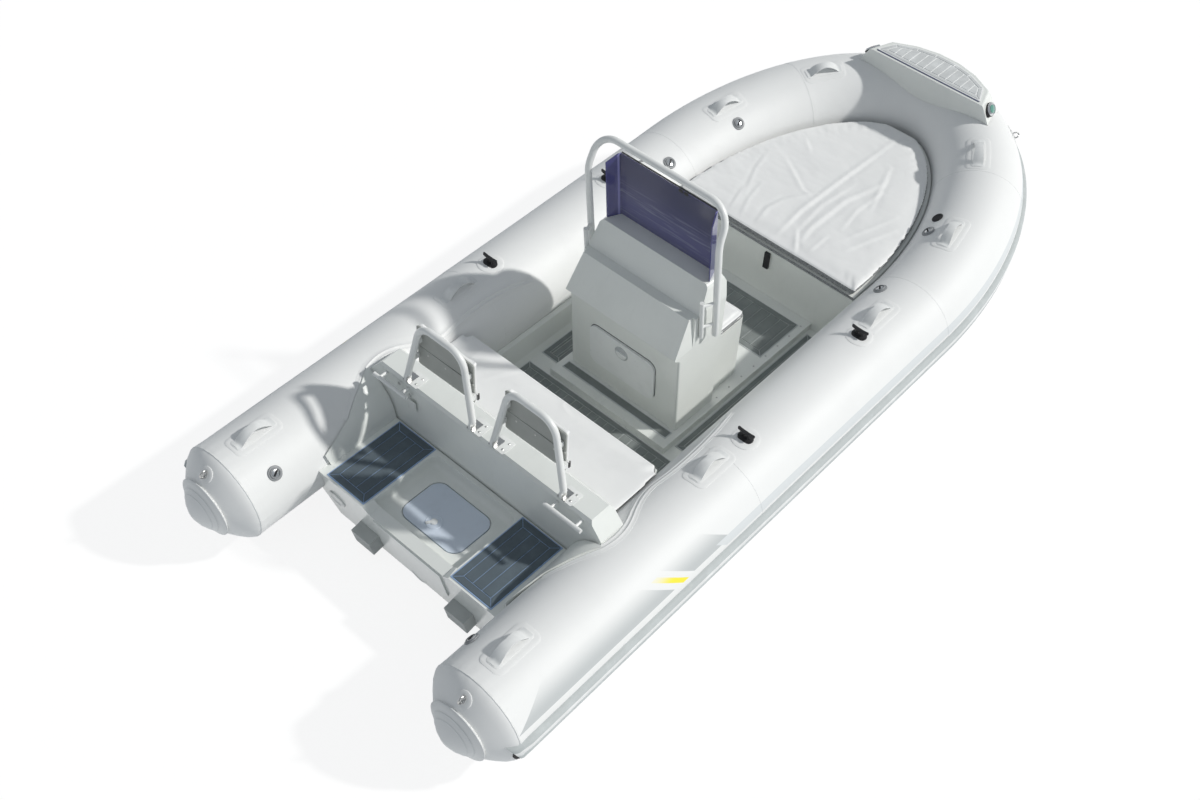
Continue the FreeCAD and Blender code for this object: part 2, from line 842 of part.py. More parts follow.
# Stern beam.
beam_body = new_body("beam_body")
profile = sketch_on(beam_body, "XZ_Plane")
outline(profile, [
    (v.beam_aft_x, v.sole_z + v.seat_gap),
    (v.beam_aft_x + v.beam_lean, v.beam_top_z - 14),
    (v.beam_aft_x + v.beam_lean + 12, v.beam_top_z),
    (v.beam_fore_x - 14, v.beam_top_z),
    (v.beam_fore_x, v.beam_top_z - 14),
    (v.beam_fore_x, v.sole_z + v.seat_gap),
])
pad(beam_body, profile, v.beam_end_half * 2, midplane=True)
for side in (1, -1):
    end = sketch_on(beam_body, "YZ_Plane", v.beam_aft_x - 5)
    outline(end, [
        (v.beam_top_half * side, v.beam_top_z + 5),
        ((v.beam_end_half + 5) * side, v.beam_top_z + 5),
        ((v.beam_end_half + 5) * side, v.beam_end_z),
    ])
    pocket(beam_body, end, v.beam_fore_x - v.beam_aft_x + 10, up=True)
    foot = sketch_on(beam_body, "YZ_Plane", v.beam_aft_x - 5)
    outline(foot, [
        (v.foot_half * side, v.sole_z - 10),
        ((v.beam_end_half + 5) * side, v.sole_z - 10),
        ((v.beam_end_half + 5) * side, v.foot_z),
        (v.foot_half * side, v.foot_z),
    ])
    pocket(beam_body, foot, v.beam_fore_x - v.beam_aft_x + 10, up=True)
beam = keep(cut(beam_body, *SIDES), "stern_beam")

# Rear seat.
def seat_outline(aft, narrower, back=0):
    """Plan of the seat, with its two front corners cut away."""
    corner = v.seat_corner_x - back
    front = v.seat_fore_x - back
    half = v.seat_half - narrower
    return [
        (aft, -half),
        (corner, -half),
        (corner, -v.seat_corner_y),
        (front, -v.seat_straight),
        (front, v.seat_straight),
        (corner, v.seat_corner_y),
        (corner, half),
        (aft, half),
    ]


seat_body = new_body("seat_base_body")
plan = sketch_on(seat_body, "XY_Plane", v.sole_z + v.seat_gap)
outline(plan, seat_outline(v.beam_fore_x + v.seat_gap, v.seat_half - v.foot_half))
pad(seat_body, plan, v.foot_z - v.sole_z)
plan = sketch_on(seat_body, "XY_Plane", v.foot_z)
outline(plan, seat_outline(v.beam_fore_x + v.seat_gap, v.seat_half - v.beam_end_half))
pad(seat_body, plan, v.seat_top_z - v.foot_z)
hold = sketch_on(seat_body, "XY_Plane", v.seat_top_z)
outline(hold, slab(v.beam_fore_x + v.wall * 3, v.seat_corner_x - v.wall * 2, v.seat_hold_half))
pocket(seat_body, hold, v.seat_top_z - v.plinth_z)
seat_base = keep(cut(seat_body, *SIDES), "seat_base")

lid_body = new_body("seat_lid_body")
plate = sketch_on(lid_body, "XY_Plane", v.seat_top_z + v.seat_gap)
outline(plate, seat_outline(v.beam_fore_x + v.move_gap + 2, v.wall, v.wall))
pad(lid_body, plate, v.lid_plate)
keep(cut(lid_body, room_port, room_starboard), "seat_lid")

top_body = new_body("seat_cushion_body")
plan = sketch_on(top_body, "XY_Plane", v.seat_top_z + v.lid_plate + v.seat_gap * 2)
outline(plan, seat_outline(v.beam_fore_x + v.move_gap + 2, 4, 2))
pad(top_body, plan, v.cushion_thick)
keep(cut(top_body, room_port, room_starboard), "seat_cushion")

# Bow locker.
locker_body = new_body("bow_locker_body")
plan = sketch_on(locker_body, "XY_Plane", v.hull_top + v.seat_gap)
outline(plan, slab(v.bulkhead_x, v.locker_fore_x, v.tube_offset))
pad(locker_body, plan, v.locker_top_z - v.hull_top - v.seat_gap)
hold = sketch_on(locker_body, "XY_Plane", v.locker_top_z)
outline(hold, [
    (v.locker_open_aft, -v.locker_open_half_aft),
    (v.joint_x + 300, -v.locker_open_half_aft),
    (v.locker_open_fore, -v.locker_open_half_fore),
    (v.locker_open_fore, v.locker_open_half_fore),
    (v.joint_x + 300, v.locker_open_half_aft),
    (v.locker_open_aft, v.locker_open_half_aft),
])
pocket(locker_body, hold, v.locker_top_z - v.locker_floor_z)
locker = keep(cut(within_form(locker_body), solid_bow, *SPACES), "bow_locker")


def lid_plan():
    return [
        (v.bulkhead_x + 4, -v.tube_offset),
        (v.joint_x + 620, -v.tube_offset),
        (v.bow_lid_fore_x, -v.bow_lid_nose_half),
        (v.bow_lid_fore_x, v.bow_lid_nose_half),
        (v.joint_x + 620, v.tube_offset),
        (v.bulkhead_x + 4, v.tube_offset),
    ]


lid_body = new_body("bow_lid_body")
plan = sketch_on(lid_body, "XY_Plane", v.locker_top_z + v.seat_gap)
outline(plan, lid_plan())
pad(lid_body, plan, v.bow_lid_plate)
keep(cut(lid_body, *ROOMS), "bow_lid")
top_body = new_body("bow_cushion_body")
plan = sketch_on(top_body, "XY_Plane", v.locker_top_z + v.bow_lid_plate + v.seat_gap * 2)
outline(plan, lid_plan())
pad(top_body, plan, v.bow_cushion_thick)
wide = v.tube_radius + v.cushion_gap
keep(cut(top_body, tube_side("wide_port", 1, wide), tube_side("wide_starboard", -1, wide),
         tube_round("wide_bow", wide)), "bow_cushion")

# Console.
def console_profile(t):
    """Side view of the console, drawn in by a wall of thickness t."""
    return [
        (v.console_aft_x + t, v.plinth_z + v.seat_gap + t),
        (v.console_aft_x - v.console_lean + t, v.dash_foot_z),
        (v.dash_lip_x + t * 1.4, v.dash_lip_z + t * 0.4),
        (v.dash_shelf_x + t * 0.8, v.dash_shelf_z - t),
        (v.dash_shelf_x + v.dash_shelf_depth + t * 0.6, v.dash_shelf_z - t),
        (v.dash_top_x + t * 0.6, v.dash_top_z - t),
        (v.console_fore_x - 26 - t, v.dash_top_z - t),
        (v.console_fore_x - t, v.dash_top_z - 50 - t),
        (v.console_fore_x - t, v.plinth_z + v.seat_gap + t),
    ]


console_body = new_body("console_body")
profile = sketch_on(console_body, "XZ_Plane")
outline(profile, console_profile(as_size(0)))
pad(console_body, profile, v.console_half * 2, midplane=True)
hollow = sketch_on(console_body, "XZ_Plane")
outline(hollow, console_profile(v.wall))
pocket(console_body, hollow, (v.console_half - v.dash_taper - v.wall) * 2, midplane=True)
# Both fascias draw in towards their tops.
for side in (1, -1):
    for foot_z, top_z, from_x, to_x in (
            (v.dash_lip_z, v.dash_shelf_z, v.dash_lip_x - 10, v.dash_shelf_x + v.dash_shelf_depth * 0.5),
            (v.dash_shelf_z, v.dash_top_z, v.dash_lip_x - 10, v.console_fore_x + 10)):
        wedge = sketch_on(console_body, "YZ_Plane", from_x)
        outline(wedge, [
            (v.console_half * side, foot_z),
            ((v.console_half + 5) * side, foot_z),
            ((v.console_half + 5) * side, top_z + 1),
            ((v.console_half - v.dash_taper) * side, top_z + 1),
        ])
        pocket(console_body, wedge, to_x - from_x, up=True)
round_edges(console_body, v.dash_corner,
            lambda e: abs(mid(e).z - n["dash_top_z"]) < 0.1 and abs(mid(e).y) > n["console_half"] - 40)
round_edges(console_body, v.console_corner,
            lambda e: abs(abs(mid(e).y) - n["console_half"]) < 0.1 and mid(e).x < n["console_aft_x"]
            and abs(mid(e).z - (n["plinth_z"] + n["dash_foot_z"]) / 2) < 20)
door = sketch_on(console_body, "YZ_Plane", v.dash_lip_x - 20)
low = v.hatch_low_z + v.hatch_ledge
high = v.hatch_high_z - v.hatch_ledge
outline(door, [
    (-(v.hatch_half - v.hatch_ledge), low),
    (v.hatch_half - v.hatch_ledge, low),
    (v.hatch_half - v.hatch_ledge, high),
    (-(v.hatch_half - v.hatch_ledge), high),
])
pocket(console_body, door, v.console_aft_x - v.dash_lip_x + 20 + v.wall + 4, up=True)
console = keep(console_body, "console")

lean = math.degrees(math.atan2(n["console_lean"],
                               n["dash_foot_z"] - n["plinth_z"] - n["seat_gap"]))
hatch_body = new_body("console_hatch_body")
face = sketch_on(hatch_body, "YZ_Plane")
outline(face, [
    (-v.hatch_half, 0),
    (v.hatch_half, 0),
    (v.hatch_half, v.hatch_high_z - v.hatch_low_z),
    (-v.hatch_half, v.hatch_high_z - v.hatch_low_z),
])
pad(hatch_body, face, v.hatch_plate, down=True)


def along_x(edge):
    if edge.Curve.TypeId != "Part::GeomLine":
        return False
    return abs(edge.tangentAt(edge.FirstParameter).x) > 0.999


round_edges(hatch_body, v.hatch_corner, along_x)
foot_x = n["console_aft_x"] - (n["hatch_low_z"] - n["plinth_z"]) * math.tan(math.radians(lean))
hatch_body.Placement = Placement(Vector(foot_x - n["seat_gap"], 0, n["hatch_low_z"]),
                                 Rotation(Vector(0, 1, 0), -lean))
keep(hatch_body, "console_hatch")

# Forward seat on the front of the console.
box_body = new_body("fore_seat_body")
plan = sketch_on(box_body, "XY_Plane", v.plinth_z + v.seat_gap)
outline(plan, slab(v.console_fore_x + v.seat_gap, v.fore_seat_x, v.fore_seat_half))
pad(box_body, plan, v.fore_seat_top_z - v.plinth_z - v.seat_gap)
round_edges(box_body, v.fore_seat_corner, lambda e: upright(e) and mid(e).x > n["fore_seat_x"] - 1)
hold = sketch_on(box_body, "XY_Plane", v.fore_seat_top_z)
outline(hold, slab(v.console_fore_x + v.wall * 2, v.fore_seat_x - v.wall * 1.5,
                   v.fore_seat_half - v.wall * 1.5))
pocket(box_body, hold, v.fore_seat_top_z - v.plinth_z - v.wall)
keep(box_body, "fore_seat_base")
lid_body = new_body("fore_seat_lid_body")
plan = sketch_on(lid_body, "XY_Plane", v.fore_seat_top_z + v.seat_gap)
outline(plan, slab(v.console_fore_x + v.move_gap + 2, v.fore_seat_x, v.fore_seat_half))
pad(lid_body, plan, v.lid_plate)
round_edges(lid_body, v.fore_seat_corner, lambda e: upright(e) and mid(e).x > n["fore_seat_x"] - 1)
keep(lid_body, "fore_seat_lid")
top_body = new_body("fore_seat_cushion_body")
plan = sketch_on(top_body, "XY_Plane", v.fore_seat_top_z + v.lid_plate + v.seat_gap * 2)
outline(plan, slab(v.console_fore_x + v.move_gap + 2, v.fore_seat_x + 4, v.fore_seat_half + 4))
pad(top_body, plan, v.cushion_thick)
round_edges(top_body, v.fore_seat_corner, lambda e: upright(e) and mid(e).x > n["fore_seat_x"] - 1)
keep(top_body, "fore_seat_cushion")

# Windscreen.
screen_body = new_body("windscreen_body")
plan = sketch_on(screen_body, "XY_Plane")
outline(plan, [
    (v.screen_foot_x, v.screen_half),
    (v.screen_wing_x, v.screen_wing_half),
    (v.screen_wing_x, v.screen_wing_half - v.screen_thick),
    (v.screen_foot_x - v.screen_thick, v.screen_half - v.screen_thick),
    (v.screen_foot_x - v.screen_thick, -(v.screen_half - v.screen_thick)),
    (v.screen_wing_x, -(v.screen_wing_half - v.screen_thick)),
    (v.screen_wing_x, -v.screen_wing_half),
    (v.screen_foot_x, -v.screen_half),
])
pad(screen_body, plan, v.screen_top_z - v.dash_top_z - v.seat_gap)
rake = math.degrees(math.atan2(n["screen_foot_x"] - n["screen_top_x"],
                               n["screen_top_z"] - n["dash_top_z"]))
foot = Vector(n["screen_foot_x"], 0, n["dash_top_z"] + n["seat_gap"])
turned = Rotation(Vector(0, 1, 0), -rake)
screen_body.Placement = Placement(foot - turned.multVec(Vector(n["screen_foot_x"], 0, 0)), turned)
trim = doc.addObject("Part::Box", "screen_trim")
trim.Length = 400
trim.Width = 1000
trim.Height = 200
trim.Placement = Placement(Vector(n["screen_foot_x"] - 300, -500, n["dash_top_z"] + n["seat_gap"] - 200),
                           Rotation())
# The tops of the wings slope down aft.
slope_body = new_body("wing_slope")
side_view = sketch_on(slope_body, "XZ_Plane")
outline(side_view, [
    (v.screen_top_x - v.screen_thick * 2, v.screen_top_z + 40),
    (v.screen_top_x - v.screen_thick * 2, v.screen_top_z),
    (v.screen_top_x - 110, v.screen_top_z - v.screen_wing_drop * 1.5),
    (v.screen_top_x - 110, v.screen_top_z + 40),
])
pad(slope_body, side_view, v.screen_wing_half * 2 + 40, midplane=True)
keep(cut(screen_body, trim, slope_body), "windscreen")

# Handrail.
half = n["rail_half"]
rail_path = [
    Vector(n["rail_foot_x"], half, n["rail_foot_z"]),
    Vector(n["rail_bend_x"], half, n["rail_bend_z"]),
    Vector(n["rail_top_x"], half - 12, n["rail_top_z"]),
    Vector(n["rail_top_x"], -(half - 12), n["rail_top_z"]),
    Vector(n["rail_bend_x"], -half, n["rail_bend_z"]),
    Vector(n["rail_foot_x"], -half, n["rail_foot_z"]),
]
rail = pipe("handrail_bar", rail_path, [160, n["rail_corner"], n["rail_corner"], 160], v.rail_radius)
standoffs = []
for side in (1, -1):
    # A short bar screwed to the console's side carries the leg on two studs.
    bar_x = n["rail_foot_x"] - 66
    bar_y = n["console_half"] + n["seat_gap"] + n["rail_bar_radius"]
    bar = doc.addObject("Part::Cylinder", "bar")
    bar.Radius = n["rail_bar_radius"]
    bind(bar, "Radius", v.rail_bar_radius)
    slant = math.atan2(n["rail_foot_x"] - n["rail_bend_x"], n["rail_bend_z"] - n["rail_foot_z"])
    tall = (n["rail_bar_high_z"] - n["rail_bar_low_z"]) / math.cos(slant)
    bar.Height = tall
    bar.Placement = Placement(Vector(bar_x, side * bar_y, n["rail_bar_low_z"]),
                              Rotation(Vector(0, 1, 0), -math.degrees(slant)))
    standoffs.append(bar)
    for share in (0.3, 0.9):
        z = n["rail_bar_low_z"] + share * (n["rail_bar_high_z"] - n["rail_bar_low_z"])
        along = (z - n["rail_foot_z"]) / (n["rail_bend_z"] - n["rail_foot_z"])
        leg_x = n["rail_foot_x"] + along * (n["rail_bend_x"] - n["rail_foot_x"])
        start = Vector(bar_x - share * tall * math.sin(slant), side * bar_y, z)
        end = Vector(leg_x, side * n["rail_half"], z)
        post = doc.addObject("Part::Cylinder", "post")
        post.Radius = 8
        bind(post, "Radius", v.rail_radius * 0.5)
        post.Height = start.distanceToPoint(end)
        post.Placement = Placement(start, Rotation(Vector(0, 0, 1), end - start))
        standoffs.append(post)
keep(fuse(rail, *standoffs), "handrail")


# Backrests.
def backrest(name, side):
    inner = n["hoop_inner_y"]
    outer = n["hoop_outer_y"]
    feet = [Vector(n["hoop_foot_x"], side * y, n["hoop_foot_z"]) for y in (inner, outer)]
    tops = [Vector(n["hoop_top_x"], side * (inner + n["hoop_splay_in"]), n["hoop_top_z"]),
            Vector(n["hoop_top_x"], side * (outer - n["hoop_splay_out"]), n["hoop_top_z"])]
    bar = pipe("hoop_bar", [feet[0], tops[0], tops[1], feet[1]],
               [n["hoop_corner"], n["hoop_corner"]], v.hoop_radius)
    parts = [bar]
    for foot, top in zip(feet, tops):
        lug_body = new_body("lug_body")
        profile = sketch_on(lug_body, "XZ_Plane", foot.y)
        outline(profile, [
            (v.pivot_x - 11, v.pivot_z - 13),
            (v.hoop_foot_x + v.hoop_radius * 0.8, v.pivot_z - 13),
            (v.hoop_foot_x + v.hoop_radius * 0.8, v.hoop_foot_z + 14),
            (v.hoop_foot_x - v.hoop_radius * 0.8, v.hoop_foot_z + 14),
            (v.pivot_x - 11, v.pivot_z + 13),
        ])
        disc(profile, v.pivot_x, v.pivot_z, v.pivot_radius + v.pin_gap)
        pad(lug_body, profile, 14, midplane=True)
        parts.append(lug_body)
        for height in (0.24, 0.72):
            z = n["pad_low_z"] + height * (n["pad_high_z"] - n["pad_low_z"])
            place = foot + (top - foot) * ((z - foot.z) / (top.z - foot.z))
            clip = doc.addObject("Part::Box", "clip")
            clip.Length = 30
            clip.Width = 22
            clip.Height = 26
            bind(clip, "Length", v.pad_aft_x - place.x - v.seat_gap)
            clip.Placement = Placement(place - Vector(0, 11, 13), Rotation())
            parts.append(clip)
    keep(fuse(*parts), "hoop_" + name)
    pad_body = new_body("backrest_body")
    profile = sketch_on(pad_body, "YZ_Plane", v.pad_aft_x)
    middle = v.pad_middle_y * side
    outline(profile, [
        (middle - v.pad_half, v.pad_low_z),
        (middle + v.pad_half, v.pad_low_z),
        (middle + v.pad_half, v.pad_high_z),
        (middle - v.pad_half, v.pad_high_z),
    ])
    pad(pad_body, profile, v.pad_fore_x - v.pad_aft_x)
    round_edges(pad_body, 12, lambda e: abs(abs(mid(e).y - middle.number) - n["pad_half"]) < 0.1)
    keep(pad_body, "backrest_" + name)


backrest("port", 1)
backrest("starboard", -1)

brackets = []
for side in (1, -1):
    for y in (n["hoop_inner_y"], n["hoop_outer_y"]):
        base = Part.makeBox(60, 44, 4, Vector(n["pivot_x"] - 6, side * y - 22,
                                               n["beam_top_z"] + n["seat_gap"]))
        shape = base
        for dy in (-12, 8):
            ear = Part.makeBox(20, 4, 30, Vector(n["pivot_x"] - 6, side * y + dy,
                                                  n["beam_top_z"] + n["seat_gap"]))
            shape = shape.fuse(ear)
        pin = Part.makeCylinder(n["pivot_radius"], 24, Vector(n["pivot_x"], side * y - 12, n["pivot_z"]),
                                Vector(0, 1, 0))
        brackets.append(shape.fuse(pin).removeSplitter())
keep(gather("backrest_brackets", brackets), "backrest_brackets")

# Deck and step pads.
pads = []


def mat(points, z):
    wire = Part.makePolygon([Vector(x, y, z) for x, y in points + points[:1]])
    return Part.Face(wire).extrude(Vector(0, 0, n["pad_thick"]))


def oblong(low_x, high_x, low_y, high_y):
    return [(low_x, low_y), (high_x, low_y), (high_x, high_y), (low_x, high_y)]


gap = n["seat_gap"]
low = n["sole_z"] + gap
high = n["plinth_z"] + gap
brick_half = n["curb_y"] - 3
brick_fore = n["plinth_aft_x"] - n["brick_margin"]
pads.append(mat(oblong(brick_fore - n["brick_width"], brick_fore, -brick_half, brick_half), low))
toe_fore = n["console_aft_x"] - n["toe_margin"]
toe_half = n["plinth_half"] - 33
pads.append(mat(oblong(toe_fore - n["toe_width"], toe_fore, -toe_half, toe_half), high))
walk_fore = n["bulkhead_x"] - 47
for side in (1, -1):
    pads.append(mat(oblong(n["plinth_aft_x"] + 75, walk_fore, (n["plinth_half"] + 12) * side,
                           (n["curb_y"] - 5) * side), low))
fore_half = n["plinth_half"] - 38
pads.append(mat(oblong(n["fore_seat_x"] + 150, n["bulkhead_x"] - 61, -fore_half, fore_half), high))
keep(gather("deck_pads", pads), "deck_pads")
steps = []
step_out = n["tube_offset"] - n["tube_radius"] - 38
for side in (1, -1):
    steps.append(mat(oblong(12, n["beam_aft_x"] - 6, (n["well_half"] + 10) * side, step_out * side),
                     n["step_z"] + gap))
keep(gather("step_pads", steps), "step_pads")

# Bow chock.
chock_body = new_body("chock_body")
plan = sketch_on(chock_body, "XY_Plane", v.chock_top_z)
outline(plan, [
    (v.chock_inner_x, -v.chock_inner_half),
    (v.chock_shoulder_x, -v.chock_outer_half),
    (v.chock_outer_x - 30, -(v.chock_outer_half * 0.6)),
    (v.chock_outer_x, -(v.chock_outer_half * 0.2)),
    (v.chock_outer_x, v.chock_outer_half * 0.2),
    (v.chock_outer_x - 30, v.chock_outer_half * 0.6),
    (v.chock_shoulder_x, v.chock_outer_half),
    (v.chock_inner_x, v.chock_inner_half),
])
body_pad = pad(chock_body, plan, v.chock_depth, down=True)
body_pad.TaperAngle = n["chock_flare"]
bind(body_pad, "TaperAngle", v.chock_flare)
round_edges(chock_body, v.chock_edge, lambda e: abs(mid(e).z - n["chock_top_z"]) < 0.1
            and mid(e).x > n["chock_inner_x"] + 1)
front = block("chock_front", 600, 2000, v.chock_top_z - v.chock_depth - 50, 400, v.chock_inner_x - 600)
keep(cut(chock_body, front, space_bow), "bow_chock")
pad_body = new_body("bow_pad_body")
plan = sketch_on(pad_body, "XY_Plane", v.chock_top_z + v.seat_gap)
outline(plan, [
    (v.chock_inner_x + 22, -(v.chock_inner_half - 28)),
    (v.chock_shoulder_x - 6, -(v.chock_outer_half - 28)),
    (v.chock_outer_x - 48, -(v.chock_outer_half * 0.55)),
    (v.chock_outer_x - 24, -(v.chock_outer_half * 0.2)),
    (v.chock_outer_x - 24, v.chock_outer_half * 0.2),
    (v.chock_outer_x - 48, v.chock_outer_half * 0.55),
    (v.chock_shoulder_x - 6, v.chock_outer_half - 28),
    (v.chock_inner_x + 22, v.chock_inner_half - 28),
])
pad(pad_body, plan, v.pad_thick)
keep(pad_body, "bow_step_pad")

# Fittings on the tube.
doc.recompute()
spaces = [thing.Shape for thing in SPACES]


def seated(shapes):
    """Cuts each fitting to the curve of the tube below it."""
    done = []
    for shape in shapes:
        for space in spaces:
            if shape.BoundBox.intersect(space.BoundBox):
                shape = shape.cut(space)
        done.append(max(shape.Solids, key=lambda solid: solid.Volume))
    return done


def strap_handle():
    """A soft grab handle: a flat strap arched between two rounded pads."""
    half = n["handle_length"] / 2
    rise = n["handle_rise"]
    thick = n["handle_thick"]
    width = n["handle_width"]
    low = -n["patch_sink"]
    outer = Part.Arc(Vector(-half, 0, low), Vector(0, 0, rise), Vector(half, 0, low)).toShape()
    inner = Part.Arc(Vector(half - thick, 0, low), Vector(0, 0, rise - thick),
                     Vector(thick - half, 0, low)).toShape()
    ends = [Part.makeLine(Vector(half, 0, low), Vector(half - thick, 0, low)),
            Part.makeLine(Vector(thick - half, 0, low), Vector(-half, 0, low))]
    side_view = Part.Face(Part.Wire([outer, ends[0], inner, ends[1]]))
    strap = side_view.extrude(Vector(0, width, 0))
    strap.translate(Vector(0, -width / 2, 0))
    for x in (-half, half):
        foot = Part.makeCylinder(width * 0.85, n["patch_sink"] + n["patch_thick"], Vector(x, 0, low))
        strap = strap.fuse(foot)
    return strap.removeSplitter()


def place_x(share):
    return n["seam_x"] + share * (n["joint_x"] + n["bow_reach"] - n["seam_x"])


handles = []
master = strap_handle()
for share, lift in HANDLE_PLACES:
    for side in (1, -1):
        shape = master.copy()
        shape.Placement = on_tube(place_x(share), side, lift)
        handles.append(shape)
keep(gather("handles", seated(handles)), "handles")

valves = []
radius = n["valve_radius"]
cap = Part.makeCylinder(radius + 8, 10, Vector(0, 0, -6))
cap = cap.fuse(Part.makeCone(radius, radius - 4, 6, Vector(0, 0, 4)))
for share, lift in VALVE_PLACES:
    for side in (1, -1):
        shape = cap.copy()
        shape.Placement = on_tube(place_x(share), side, lift)
        valves.append(shape)
keep(gather("valves", seated(valves)), "valves")


def two_horn_cleat():
    """A cleat on a round patch: a stem, and two horns that rise and thin towards their tips."""
    low = -n["patch_sink"]
    shape = Part.makeCylinder(n["cleat_patch"], n["patch_sink"] + n["patch_thick"], Vector(0, 0, low))
    rise = n["cleat_rise"]
    shape = shape.fuse(Part.makeCone(n["cleat_stem"] * 1.3, n["cleat_stem"], rise - low, Vector(0, 0, low)))
    for way in (1, -1):
        horn = Part.makeCone(n["cleat_stem"], n["cleat_stem"] * 0.6, n["cleat_horn"],
                             Vector(0, 0, rise - n["cleat_stem"]), Vector(0, way, 0.12))
        shape = shape.fuse(horn)
    return shape.removeSplitter()


cleats = []
master = two_horn_cleat()
for share in CLEAT_PLACES:
    for side in (1, -1):
        base = master.copy()
        base.Placement = on_tube(place_x(share), side, 90)
        cleats.append(base)
keep(gather("cleats", seated(cleats)), "cleats")


def ring_fitting(size, wire):
    """A ring on a round patch."""
    patch = Part.makeCylinder(size * 1.7, 10, Vector(0, 0, -7))
    bridge = Part.makeBox(size * 0.9, wire * 4, wire * 3, Vector(-size * 0.45, -wire * 2, 2))
    ring = Part.makeTorus(size, wire, Vector(0, 0, size * 0.62 + wire), Vector(0, 1, 0))
    return patch.fuse([bridge, ring]).removeSplitter()


rings = []
for side in (1, -1):
    shape = ring_fitting(n["ring_radius"], n["ring_wire"])
    shape.Placement = on_tube(n["joint_x"] + n["bow_reach"] * n["ring_share"], side, n["ring_lift"])
    rings.append(shape)
keep(gather("bow_rings", seated(rings)), "bow_rings")

# Towing eyes on top of the end cones, square to the cone's slope.
eyes = []
cones = [thing.Shape for label, thing in labels if label.startswith("cone_")]
for side, shell in zip((1, -1), cones):
    low = -n["patch_sink"] * 2
    eye = Part.makeCylinder(n["eye_patch"], n["patch_thick"] - low, Vector(0, 0, low))
    eye = eye.fuse(Part.makeTorus(n["eye_radius"], n["eye_wire"], Vector(0, 0, n["eye_radius"] * 0.7),
                                  Vector(1, 0, 0)))
    eye = eye.removeSplitter()
    slope = math.degrees(math.atan2(n["tube_radius"] * 0.145, n["cone_bead_at"] * 0.25))
    run = n["cone_bead_at"] * n["eye_share"]
    height = n["seam_z"] + n["tube_radius"] * 0.785
    eye.Placement = Placement(Vector(n["seam_x"] - run, side * n["tube_offset"], height),
                              Rotation(Vector(0, 1, 0), -slope))
    eyes.append(max(eye.cut(shell).Solids, key=lambda solid: solid.Volume))
keep(gather("tow_eyes", eyes), "tow_eyes")

lights = []
share = n["lamp_at"] / (n["chock_shoulder_x"] - n["chock_inner_x"])
lamp_y = n["chock_inner_half"] + share * (n["chock_outer_half"] - n["chock_inner_half"])
toe = math.degrees(math.atan2(n["chock_inner_half"] - n["chock_outer_half"],
                              n["chock_shoulder_x"] - n["chock_inner_x"]))
lamp_y += n["lamp_drop"] * math.tan(math.radians(n["chock_flare"])) / math.cos(math.radians(toe))
for side in (1, -1):
    lamp = Part.makeCylinder(n["lamp_radius"], 22, Vector(0, 0, -12))
    turned = (Rotation(Vector(0, 0, 1), -side * toe)
              * Rotation(Vector(1, 0, 0), -side * (90 - n["chock_flare"])))
    lamp.Placement = Placement(Vector(n["chock_inner_x"] + n["lamp_at"], side * lamp_y,
                                      n["chock_top_z"] - n["lamp_drop"]), turned)
    lights.append(lamp)
doc.recompute()
chock = [thing for label, thing in labels if label == "bow_chock"][0]
keep(gather("nav_lights", [lamp.cut(chock.Shape) for lamp in lights]), "nav_lights")

# Small fittings.
grabs = []
for side in (1, -1):
    z = n["beam_top_z"] - 30
    x = n["beam_aft_x"] - 32
    bar = Part.makeCylinder(10, 210, Vector(x, side * 525 - 105, z), Vector(0, 1, 0))
    for dy in (-70, 70):
        reach = n["beam_aft_x"] + n["beam_lean"] - 1.5 - x
        bar = bar.fuse(Part.makeCylinder(7, reach, Vector(x, side * 525 + dy, z), Vector(1, 0, 0)))
    grabs.append(bar.removeSplitter())
keep(gather("grab_rails", grabs), "grab_rails")

scuppers = []
rake = math.radians(n["transom_rake"])
for side in (1, -1):
    box = Part.makeBox(60, 120, 100, Vector(-60 - n["seat_gap"], side * 300 - 60, -340))
    box.Placement = Placement(Vector(0, 0, n["transom_z"]), Rotation(Vector(0, 1, 0), -n["transom_rake"]))
    scuppers.append(box)
keep(gather("scuppers", scuppers), "scuppers")

latch = Part.makeBox(14, 30, 100, Vector(n["bulkhead_x"] - 14 - n["seat_gap"], -60, 370))
keep(gather("locker_latch", [latch]), "locker_latch")

# Write the sub-parts.
doc.recompute()
failed = []
for thing in doc.Objects:
    if "Invalid" in thing.State or "Error" in thing.State:
        failed.append(thing.Label + " " + ",".join(thing.State))
for label, thing in labels:
    shape = thing.Shape
    if shape.isNull() or not shape.isValid() or not shape.Solids:
        failed.append(label + " has no valid solid")
if failed:
    raise RuntimeError("; ".join(failed))
for label, thing in labels:
    thing.Shape.exportStep("parts/%s.step" % label)
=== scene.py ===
import bisect
import math

import bmesh
import bpy
from mathutils import Matrix, Vector, noise


